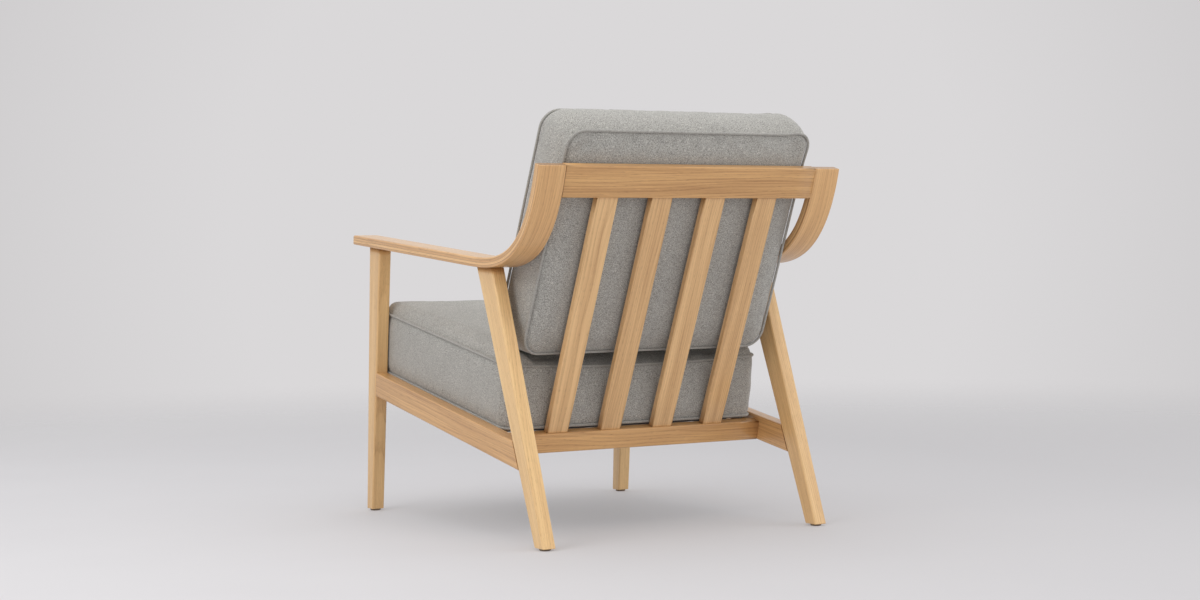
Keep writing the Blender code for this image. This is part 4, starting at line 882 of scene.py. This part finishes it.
class BoxCushion:
    """Box cushion as three cloth panels: low face, high face and the border.

    Local axes are x, c across the face and h through the thickness.  The two
    seam loops stay fixed in the simulation, so the piping lies on them."""

    def __init__(self, name, hw, c, h, r, place, local, low, high, border, press=None, step=0.0075):
        self.press = press
        self.name, self.hw, self.c, self.h, self.r = name, hw, c, h, r
        self.place, self.local, self.low, self.high, self.border, self.step = place, local, low, high, border, step

    def width(self, c, grow):
        c0, c1 = self.c[0] - grow, self.c[1] + grow
        k = clamp01((c - c0) / (c1 - c0))
        hw = self.hw[0] + (self.hw[1] - self.hw[0]) * k + grow
        r = self.r + grow
        d = min(c - c0, c1 - c)
        if d < r:
            hw -= r - sqrt(max(r * r - (r - d) ** 2, 0.0))
        return hw

    def rows(self, grow):
        c0, c1, r = self.c[0] - grow, self.c[1] + grow, self.r + grow
        arc = [r * (1 - cos(pi / 2 * i / 8)) for i in range(9)]
        n = int(round((self.c[1] - self.c[0] - 2 * self.r) / self.step))
        mid = [c0 + r + (c1 - c0 - 2 * r) * i / n for i in range(1, n)]
        return [c0 + a for a in arc] + mid + [c1 - a for a in reversed(arc)]

    def build(self):
        g0 = -SEAM_IN
        rows = self.rows(g0)
        nx = int(round(2 * self.hw[0] / self.step))
        us = [-1 + 2 * i / nx for i in range(nx + 1)]
        M, Nn = len(rows), len(us)
        bm = bmesh.new()
        lw = bm.loops.layers.float_vector.new("weave")
        self.vid = {}

        def crown(x, c, spec):
            edge_a, edge_w, broad, flat = spec
            w = self.width(c, g0)
            dx = max(w - abs(x), 0.0)
            dc = max(min(c - self.c[0] - g0 * -1, self.c[1] + g0 - c), 0.0)
            r = self.r
            # distance to the rounded outline
            if dc < r and abs(x) > self.hw[0] - 2 * r:
                cx = self.width(self.c[0] + r if c < 0.5 * (self.c[0] + self.c[1]) else self.c[1] - r, g0) - r
                ex = max(abs(x) - cx, 0.0)
                dist = max(r - sqrt(ex * ex + (r - dc) ** 2), 0.0) if ex > 0 else dc
            else:
                dist = (max(dx, 1e-6) ** -4 + max(dc, 1e-6) ** -4) ** -0.25
            half = min(self.hw[1], (self.c[1] - self.c[0]) / 2)
            k = clamp01(dist / half)
            up = edge_a * (1 - exp(-dist / edge_w)) + broad * (1 - (1 - k) ** 2) ** flat
            return up if self.press is None or spec is self.low else self.press(x, self.c[1] - c, dist, up)

        grids = []
        for face, (hh, sign, spec) in enumerate(((self.h[0] + SEAM_IN, -1, self.low), (self.h[1] - SEAM_IN, 1, self.high))):
            g = []
            for i, c in enumerate(rows):
                w = self.width(c, g0)
                row = []
                for j, u in enumerate(us):
                    x = u * w
                    rim = i in (0, M - 1) or j in (0, Nn - 1)
                    lift = 0.0 if rim else crown(x, c, spec)
                    v = bm.verts.new(self.place(x, c, hh + sign * lift, 0))
                    row.append((v, x, c))
                g.append(row)
            grids.append(g)
            for i in range(M - 1):
                for j in range(Nn - 1):
                    q = [(i, j), (i, j + 1), (i + 1, j + 1), (i + 1, j)]
                    if sign < 0:
                        q.reverse()
                    f = bm.faces.new([g[a][b][0] for a, b in q])
                    for lp, (a, b) in zip(f.loops, q):
                        lp[lw] = (g[a][b][1], g[a][b][2], 0.0)
        # rim of a grid, once round
        rim = [(0, j) for j in range(Nn)] + [(i, Nn - 1) for i in range(1, M)] + [(M - 1, j) for j in range(Nn - 2, -1, -1)] + [(i, 0) for i in range(M - 2, 0, -1)]
        self.loops = [[g[a][b][0] for a, b in rim] for g in grids]
        pts = [(grids[0][a][b][1], grids[0][a][b][2]) for a, b in rim]
        n = len(pts)
        nrm = []
        for k in range(n):
            ax, ac = pts[k - 1]
            bx, bc = pts[(k + 1) % n]
            t = Vector((bx - ax, bc - ac)).normalized()
            nrm.append(Vector((t[1], -t[0])))
        run = [0.0]
        for k in range(n):
            run.append(run[-1] + (Vector(pts[(k + 1) % n]) - Vector(pts[k])).length)
        K = 15
        hl, hh = self.h[0] + SEAM_IN, self.h[1] - SEAM_IN
        edge_a, edge_w, broad = self.border[:3]
        levels = []
        for q in range(K + 1):
            if q == 0:
                levels.append(self.loops[0])
                continue
            if q == K:
                levels.append(self.loops[1])
                continue
            # levels closer together beside the seams
            f = 0.5 - 0.5 * cos(pi * q / K) if False else (q / K) * 0.72 + 0.28 * (0.5 - 0.5 * cos(pi * q / K))
            h = hl + (hh - hl) * f
            dist = min(h - hl, hh - h)
            kk = clamp01(dist / ((hh - hl) / 2))
            ring = []
            for (x, c), m_ in zip(pts, nrm):
                out = edge_a * (1 - exp(-dist / edge_w)) + broad * (1 - (1 - kk) ** 2)
                extra = self.border[3](c, m_[1], kk) if len(self.border) > 3 else 0.0
                out += extra
                side = 0.0
                v = bm.verts.new(self.place(x + m_[0] * out, c + m_[1] * out, h, side))
                ring.append(v)
            levels.append(ring)
        for q in range(K):
            for k in range(n):
                m_ = (k + 1) % n
                f = bm.faces.new((levels[q][k], levels[q][m_], levels[q + 1][m_], levels[q + 1][k]))
                for lp, (kk, qq) in zip(f.loops, ((k, q), (k + 1, q), (k + 1, q + 1), (k, q + 1))):
                    lp[lw] = (run[kk], 2.0 + (hh - hl) * qq / K, 0.0)
        bm.verts.index_update()
        self.loop_ids = [[v.index for v in lp] for lp in self.loops]
        self.rim_pts, self.rim_nrm, self.run = pts, nrm, run
        bmesh.ops.recalc_face_normals(bm, faces=bm.faces)
        me = bpy.data.meshes.new(self.name)
        bm.to_mesh(me)
        bm.free()
        me.materials.append(MAT_WOOL)
        me.shade_smooth()
        self.ob = link(self.name, me)
        return self.ob

    def simulate(self, pressure, cap, keep, frames=20):
        """Blow the cover up against its pinned seams; cap the travel; keep(p) holds
        a local point inside the room the neighbours leave."""
        ob = self.ob
        n = len(ob.data.vertices)
        start = np.empty(n * 3)
        ob.data.vertices.foreach_get("co", start)
        start = start.reshape(-1, 3)
        pos = start.copy()
        g = ob.vertex_groups.new(name="pin")
        g.add(sum(self.loop_ids, []), 1.0, "REPLACE")
        m = ob.modifiers.new("cloth", "CLOTH")
        s = m.settings
        s.quality = 6
        s.mass = 0.25
        s.tension_stiffness = s.compression_stiffness = 14
        s.shear_stiffness = 6
        s.bending_stiffness = 0.4
        s.air_damping = 4
        s.vertex_group_mass = "pin"
        s.use_pressure = True
        s.uniform_pressure_force = pressure
        s.shrink_min = -0.012
        s.effector_weights.gravity = 0.0
        m.collision_settings.use_collision = False
        m.collision_settings.use_self_collision = False
        sc = bpy.context.scene
        sc.frame_start, sc.frame_end = 1, frames
        for f in range(1, frames + 1):
            sc.frame_set(f)
        dg = bpy.context.evaluated_depsgraph_get()
        ev = ob.evaluated_get(dg)
        out = np.empty(n * 3)
        ev.data.vertices.foreach_get("co", out)
        pos = out.reshape(-1, 3).copy()
        ob.modifiers.clear()
        sc.frame_set(1)
        ob.vertex_groups.clear()
        d = pos - start
        ln = np.linalg.norm(d, axis=1, keepdims=True)
        k = np.where(ln > 1e-9, cap * np.tanh(ln / cap) / np.maximum(ln, 1e-9), 1.0)
        pos = start + d * k
        pins = set(sum(self.loop_ids, []))
        for i in range(n):
            if i in pins:
                pos[i] = start[i]
                continue
            pos[i] = keep(Vector(pos[i]))
        ob.data.vertices.foreach_set("co", pos.ravel())
        ob.data.update()
        self.travel = float(ln.max())
        return ob

    def finish(self):
        m = self.ob.modifiers.new("fine", "SUBSURF")
        m.levels = m.render_levels = 1
        return self.ob

    def piping(self, which, name):
        """Round covered cord on one seam loop."""
        up = 1 if which else -1
        h = (self.h[1] - SEAM_IN) if which else (self.h[0] + SEAM_IN)
        off = (PIPE_R * 0.92) / sqrt(2)
        seg = 12
        bm = bmesh.new()
        lw = bm.loops.layers.float_vector.new("weave")
        n = len(self.rim_pts)
        rings = []
        for k in range(n):
            (x, c), m_ = self.rim_pts[k], self.rim_nrm[k]
            p = self.place(x, c, h, 0)
            u = (self.place(x + m_[0] * 0.001, c + m_[1] * 0.001, h, 0) - p).normalized()
            v = (self.place(x, c, h + 0.001 * up, 0) - p).normalized()
            ctr = p + u * off + v * off
            rr_ = PIPE_R * (1 + 0.02 * sin(self.run[k] / 0.013))
            rings.append([bm.verts.new(ctr + u * rr_ * cos(2 * pi * q / seg) + v * rr_ * sin(2 * pi * q / seg)) for q in range(seg)])
        for k in range(n):
            a, b = rings[k], rings[(k + 1) % n]
            for q in range(seg):
                w = (q + 1) % seg
                f = bm.faces.new((a[q], a[w], b[w], b[q]))
                for lp, (kk, qq) in zip(f.loops, ((k, q), (k, q + 1), (k + 1, q + 1), (k + 1, q))):
                    lp[lw] = (self.run[kk], 2 * pi * PIPE_R * qq / seg + self.run[kk], 0)
        bmesh.ops.recalc_face_normals(bm, faces=bm.faces)
        me = bpy.data.meshes.new(name)
        bm.to_mesh(me)
        bm.free()
        me.materials.append(MAT_PIPE)
        me.shade_smooth()
        return link(name, me)


def smooth01(t):
    t = clamp01(t)
    return t * t * (3 - 2 * t)


def under_back(x, rear, dist, up):
    """The back cushion stands on the rear of the seat and squashes its crown."""
    q = (1 - smooth01(rear / 0.075)) * (1 - smooth01((abs(x) - 0.222) / 0.030))
    flat = 0.0050 * (1 - exp(-dist / 0.0040)) + 0.0080 * clamp01(rear / 0.075)
    return up * (1 - q) + min(flat, up) * q


# seat: crown fields are (edge rise, its width, broad crown, flatness)
seat = BoxCushion("seat_cushion_cloth", (SEAT_HALF_W, SEAT_HALF_W), SEAT_S, SEAT_N, SEAT_CORNER_R, place_seat, seat_local,
                  low=(0.0128, 0.0040, 0.0010, 0.5), high=(0.0240, 0.0056, 0.0055, 0.8),
                  border=(0.0026, 0.0060, 0.0006, lambda c, m, kk: 0.0030 * kk * abs(m) ** 4), press=under_back)


def back_extra(c, m, kk):
    """The top border stands fuller; so does the bottom a little."""
    full = 1 - (1 - kk) ** 2.2
    if m > 0:
        return 0.015 * full * m ** 2
    return 0.0060 * full * m ** 2


back = BoxCushion("back_cushion_cloth", (BACK_HALF_W_LOW, BACK_HALF_W_TOP), BACK_A, BACK_D, BACK_CORNER_R, place_back, back_local,
                  low=(0.0085, 0.0095, 0.0015, 0.5), high=(0.0140, 0.0110, 0.0085, 0.8),
                  border=(0.0022, 0.010, 0.0008, back_extra))


def soft_min(v, lo, w=0.0012):
    """v, but never under lo, with a short smooth bend instead of a crease."""
    d = v - lo
    return lo + (d if d > w else w * exp(max(d - w, -20 * w) / w))


def meet(s, x):
    """Height over the seat plane where the two cushions press together."""
    return 0.1505 - 0.0205 * smooth01((s - 0.125) / 0.030) * (1 - smooth01((abs(x) - 0.222) / 0.030))


def keep_seat(p):
    x, s, n = seat_local(p)
    ax = 0.2950 - soft_min(0.2950 - abs(x), 0.0003)
    x = ax if x > 0 else -ax
    n = soft_min(n, -0.0134)
    top = 0.1492 + 0.0058 * (1 - smooth01(s / 0.06 + 0.5))
    if s > 0.0:
        top = min(top, meet(s, x) - 0.0020)
    n = top - soft_min(top - n, 0.0004)
    # stay clear of the slats behind, and inside the front outline
    s = SEAT_S[1] + 0.012 - soft_min(SEAT_S[1] + 0.012 - s, 0.0003)
    s = soft_min(s, SEAT_S[0] - 0.009)
    return seat_point(x, s, n)


def keep_back(p):
    x, a, d = back_local(p)
    lim = 0.2808
    ax = lim - soft_min(lim - abs(x), 0.0003)
    x = ax if x > 0 else -ax
    d = soft_min(d, 0.0219)
    q = SL_O + SL_T * a + SL_M * d
    # and the crown of the seat below
    sx, ss, sn = seat_local(Vector((x, q[0], q[1])))
    return seat_point(sx, ss, soft_min(sn, meet(ss, sx))) if ss < 0.200 else Vector((x, q[0], q[1]))


for cush, body, keep, cap in ((seat, "seat_cushion", keep_seat, 0.0030), (back, "back_cushion", keep_back, 0.0040)):
    cush.build()
    cush.simulate(1.6, cap, keep)
    cush.finish()
    names = [body + "_cover", body + "_foam"]
    rides(cush.ob, body, names)
    hi = cush.piping(1, body + ("_top_cord" if cush is seat else "_front_cord"))
    lo = cush.piping(0, body + ("_bottom_cord" if cush is seat else "_rear_cord"))
    rides(hi, body, [body + ("_top_piping" if cush is seat else "_front_piping")])
    rides(lo, body, [body + ("_bottom_piping" if cush is seat else "_rear_piping")])

# ---- zips: woven tape with a coil, lying on the finished cloth
def zip_tape_mat():
    N = Nodes("mat_zip_tape")
    uv = N.attr("weave")
    u, v = N.sep(uv)[0:2]
    tw = N.math("SINE", N.math("MULTIPLY", N.math("ADD", u, v), 2 * pi / 0.0009))
    nz = N.noise(N.scaled(uv, (900, 900, 900)), 1.0, 2.0, 0.6)
    f = N.math("ADD", N.math("MULTIPLY", tw, 0.2), nz, clamp=True)
    col = N.ramp(f, [(0.2, srgb(52, 52, 52)), (0.8, srgb(86, 85, 83))])
    return N.done(Base_Color=col, Roughness=0.85, Normal=N.bump(f, 0.0002, 0.6))


def coil_mat():
    N = Nodes("mat_zip_coil")
    o = N.objco()
    nz = N.noise(N.scaled(o, (900, 900, 900)), 1.0, 2.0, 0.6)
    col = N.mix(nz, srgb(38, 38, 39), srgb(70, 70, 71))
    return N.done(Base_Color=col, Roughness=N.range(nz, 0.3, 0.7, 0.30, 0.45), Normal=N.bump(nz, 0.00005, 0.4))


MAT_TAPE, MAT_COIL = zip_tape_mat(), coil_mat()


def zip_on(cush, body, pts_dirs, out, name):
    """pts_dirs: rows of (start point, end point) of rays' target line; out: ray direction out."""
    dg = bpy.context.evaluated_depsgraph_get()
    ev = cush.ob.evaluated_get(dg)
    out = Vector(out).normalized()
    line = []
    for p in pts_dirs:
        hit, loc, nrm, _ = ev.ray_cast(p + out * 0.05, -out, distance=0.12)
        line.append((loc, nrm) if hit else (p, out))
    bm = bmesh.new()
    lw = bm.loops.layers.float_vector.new("weave")
    tape, run = [], 0.0
    runs = []
    for i, (p, nrm) in enumerate(line):
        a, b = line[max(i - 1, 0)][0], line[min(i + 1, len(line) - 1)][0]
        t = (b - a).normalized()
        side = t.cross(nrm).normalized()
        if i:
            run += (p - line[i - 1][0]).length
        runs.append(run)
        w = 0.0062
        tape.append([bm.verts.new(p + side * k * w + nrm * h) for k, h in ((-1, 0.00035), (0, 0.00060), (1, 0.00035), (1, -0.0006), (-1, -0.0006))])
    for i in range(len(tape) - 1):
        for j in range(5):
            q = (j + 1) % 5
            f = bm.faces.new((tape[i][j], tape[i][q], tape[i + 1][q], tape[i + 1][j]))
            for lp, (ii, jj) in zip(f.loops, ((i, j), (i, j + 1), (i + 1, j + 1), (i + 1, j))):
                lp[lw] = (runs[ii], 0.0062 * jj, 0)
    bm.faces.new(list(reversed(tape[0])))
    bm.faces.new(tape[-1])
    bmesh.ops.recalc_face_normals(bm, faces=bm.faces)
    me = bpy.data.meshes.new(name + "_tape")
    bm.to_mesh(me)
    bm.free()
    me.materials.append(MAT_TAPE)
    ob = link(me.name, me)
    rides(ob, body, [body + "_zip"])
    # the coil: a ribbed bead
    bm = bmesh.new()
    rings = []
    pitch, sub = 0.0026, 4
    steps = int(runs[-1] / pitch) * sub
    P = np.array([[c for c in p] for p, _ in line])
    Nr = np.array([[c for c in q] for _, q in line])
    for i in range(steps + 1):
        s = runs[-1] * i / steps
        p = Vector([np.interp(s, runs, P[:, k]) for k in range(3)])
        nn = Vector([np.interp(s, runs, Nr[:, k]) for k in range(3)]).normalized()
        t = (line[-1][0] - line[0][0]).normalized()
        side = t.cross(nn).normalized()
        fat = 1.0 if i % sub in (1, 2) else 0.72
        rings.append([bm.verts.new(p + nn * 0.0006 + side * (0.0022 * fat * cos(a)) + nn * (0.0011 * fat * sin(a))) for a in [2 * pi * q / 8 for q in range(8)]])
    for a, b in zip(rings[:-1], rings[1:]):
        for q in range(8):
            w = (q + 1) % 8
            bm.faces.new((a[q], a[w], b[w], b[q]))
    bm.faces.new(list(reversed(rings[0])))
    bm.faces.new(rings[-1])
    bmesh.ops.recalc_face_normals(bm, faces=bm.faces)
    me = bpy.data.meshes.new(name + "_coil")
    bm.to_mesh(me)
    bm.free()
    me.materials.append(MAT_COIL)
    me.shade_smooth()
    me.set_sharp_from_angle(angle=radians(35))
    ob = link(me.name, me)
    rides(ob, body, [])


zip_on(seat, "seat_cushion", [seat_point(x, SEAT_S[1] - 0.0120, 0.0) for x in np.linspace(-0.235, 0.235, 60)], -SEAT_EN, "seat_cushion_zip")
_d = BACK_D[0] + (BACK_D[1] - BACK_D[0]) * 0.33
zip_on(back, "back_cushion", [place_back(x, BACK_A[0], _d, 0) for x in np.linspace(-0.215, 0.215, 60)], v3(0, -SL_T), "back_cushion_zip")

# =============================================================== floor, light, camera
def backdrop():
    me = bpy.data.meshes.new("floor")
    bm = bmesh.new()
    seg, R = 96, 9.0
    c = bm.verts.new((0, 0, 0))
    prev = None
    rings = []
    for r in (1.0, 2.0, 3.0, 4.5, 6.5, R):
        rings.append([bm.verts.new((r * cos(2 * pi * i / seg), r * sin(2 * pi * i / seg), 0)) for i in range(seg)])
    for i in range(seg):
        bm.faces.new((c, rings[0][i], rings[0][(i + 1) % seg]))
    for a, b in zip(rings[:-1], rings[1:]):
        for i in range(seg):
            j = (i + 1) % seg
            bm.faces.new((a[i], b[i], b[j], a[j]))
    bm.to_mesh(me)
    bm.free()
    N = Nodes("mat_floor")
    o = N.objco()
    x, y, z = N.sep(o)[0:3]
    r = N.math("SQRT", N.math("ADD", N.math("MULTIPLY", x, x), N.math("MULTIPLY", y, y)))
    fade = N.t.nodes.new("ShaderNodeMapRange")
    fade.interpolation_type = "SMOOTHSTEP"
    N.put(fade.inputs[0], r)
    for i, v in enumerate((1.3, 5.0, 1.0, 0.0)):
        fade.inputs[1 + i].default_value = v
    nz = N.noise(N.scaled(o, (3, 3, 3)), 1.0, 3.0, 0.5)
    col = N.mix(nz, srgb(214, 211, 213), srgb(220, 217, 219))
    # painted shade: the floor's colour darkens towards -x, the side away from the key light
    col = N.mix(N.range(x, 1.3, -1.5, 0.0, 1.0), col, scale3(srgb(190, 187, 189), 1.0))
    N.done(Base_Color=N.mix(0.36, col, (0.0, 0.0, 0.0)), Roughness=0.75, Alpha=fade.outputs[0])
    # a third of the floor's brightness is its own, which keeps the shadow light
    N.bsdf.inputs["Emission Color"].default_value = (*srgb(217, 215, 216), 1.0)
    N.bsdf.inputs["Emission Strength"].default_value = 0.33
    N.bsdf.inputs["Specular IOR Level"].default_value = 0.2
    me.materials.append(N.m)
    ob = link("floor", me)
    ob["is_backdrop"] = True
    return ob


backdrop()

world = bpy.data.worlds.new("studio")
bpy.context.scene.world = world
world.use_nodes = True
wt = world.node_tree
wt.nodes.clear()
wo = wt.nodes.new("ShaderNodeOutputWorld")
wa, wb = wt.nodes.new("ShaderNodeBackground"), wt.nodes.new("ShaderNodeBackground")
wm, wl = wt.nodes.new("ShaderNodeMixShader"), wt.nodes.new("ShaderNodeLightPath")
wa.inputs[0].default_value = (0.96, 0.98, 1.0, 1.0)
wa.inputs[1].default_value = 0.74
wb.inputs[0].default_value = (*srgb(217, 215, 216), 1.0)
wb.inputs[1].default_value = 1.0
# painted shade: the backdrop the camera sees darkens away from the centre of the view
tc, dot, fall = wt.nodes.new("ShaderNodeTexCoord"), wt.nodes.new("ShaderNodeVectorMath"), wt.nodes.new("ShaderNodeMapRange")
dot.operation = "DOT_PRODUCT"
dot.inputs[1].default_value = (-0.5048, -0.8630, 0.0150)
wt.links.new(tc.outputs["Generated"], dot.inputs[0])
wt.links.new(dot.outputs["Value"], fall.inputs[0])
for i, v in enumerate((0.985, 0.948, 0.0, 1.0)):
    fall.inputs[1 + i].default_value = v
wmix = wt.nodes.new("ShaderNodeMix")
wmix.data_type = "RGBA"
wmix.inputs[6].default_value = (*srgb(218, 216, 217), 1.0)
wmix.inputs[7].default_value = (*srgb(205, 203, 204), 1.0)
wt.links.new(fall.outputs[0], wmix.inputs[0])
wt.links.new(wmix.outputs[2], wb.inputs[0])
wt.links.new(wl.outputs["Is Camera Ray"], wm.inputs[0])
wt.links.new(wa.outputs[0], wm.inputs[1])
wt.links.new(wb.outputs[0], wm.inputs[2])
wt.links.new(wm.outputs[0], wo.inputs[0])


def area(name, loc, target, size, power, color=(1, 1, 1)):
    d = bpy.data.lights.new(name, "AREA")
    d.shape = "RECTANGLE"
    d.size, d.size_y = size
    d.energy = power
    d.color = color
    ob = bpy.data.objects.new(name, d)
    bpy.context.scene.collection.objects.link(ob)
    ob.location = loc
    ob.rotation_euler = (Vector(target) - Vector(loc)).to_track_quat("-Z", "Y").to_euler()
    return ob


area("key", (3.3, 0.8, 2.6), (0, 0, 0.35), (2.2, 2.2), 38, (1.0, 0.99, 0.97))
area("top", (0.3, 0.1, 3.2), (0, 0, 0.3), (3.2, 3.2), 34, (1.0, 1.0, 1.0))
area("fill", (0.6, 4.2, 1.9), (0, 0, 0.45), (2.6, 2.6), 15, (1.0, 0.99, 0.98))
area("side", (-3.2, 2.2, 1.3), (0, 0, 0.4), (2.4, 2.4), 27, (1.0, 0.99, 0.98))

cam_d = bpy.data.cameras.new("camera")
cam = bpy.data.objects.new("camera", cam_d)
bpy.context.scene.collection.objects.link(cam)
cam_d.sensor_fit = "HORIZONTAL"
cam_d.sensor_width = 36.0
cam_d.lens = 2098.2 * 36.0 / 1200.0
cam_d.clip_start, cam_d.clip_end = 0.05, 60.0
yaw, pitch, roll = radians(30.3231), radians(1.2361), radians(-0.6957)
d = Vector((-sin(yaw) * cos(pitch), -cos(yaw) * cos(pitch), -sin(pitch)))
r_ = d.cross(Vector((0, 0, 1))).normalized()
u_ = r_.cross(d)
right = r_ * cos(roll) + u_ * sin(roll)
up = u_ * cos(roll) - r_ * sin(roll)
m = Matrix.Identity(4)
for i in range(3):
    m[i][0], m[i][1], m[i][2] = right[i], up[i], -d[i]
m.translation = Vector((2.1800, 3.7821, 0.5481))
cam.matrix_world = m
bpy.context.scene.camera = cam
bpy.context.scene.view_settings.view_transform = "Standard"
bpy.context.scene.view_settings.look = "None"

bpy.context.view_layer.update()
_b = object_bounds()
({"cad": [[float(v) for v in c] for c in CAD_BOUNDS], "visual": [[float(v) for v in c] for c in _b],
           "travel": [getattr(seat, "travel", 0), getattr(back, "travel", 0)]})
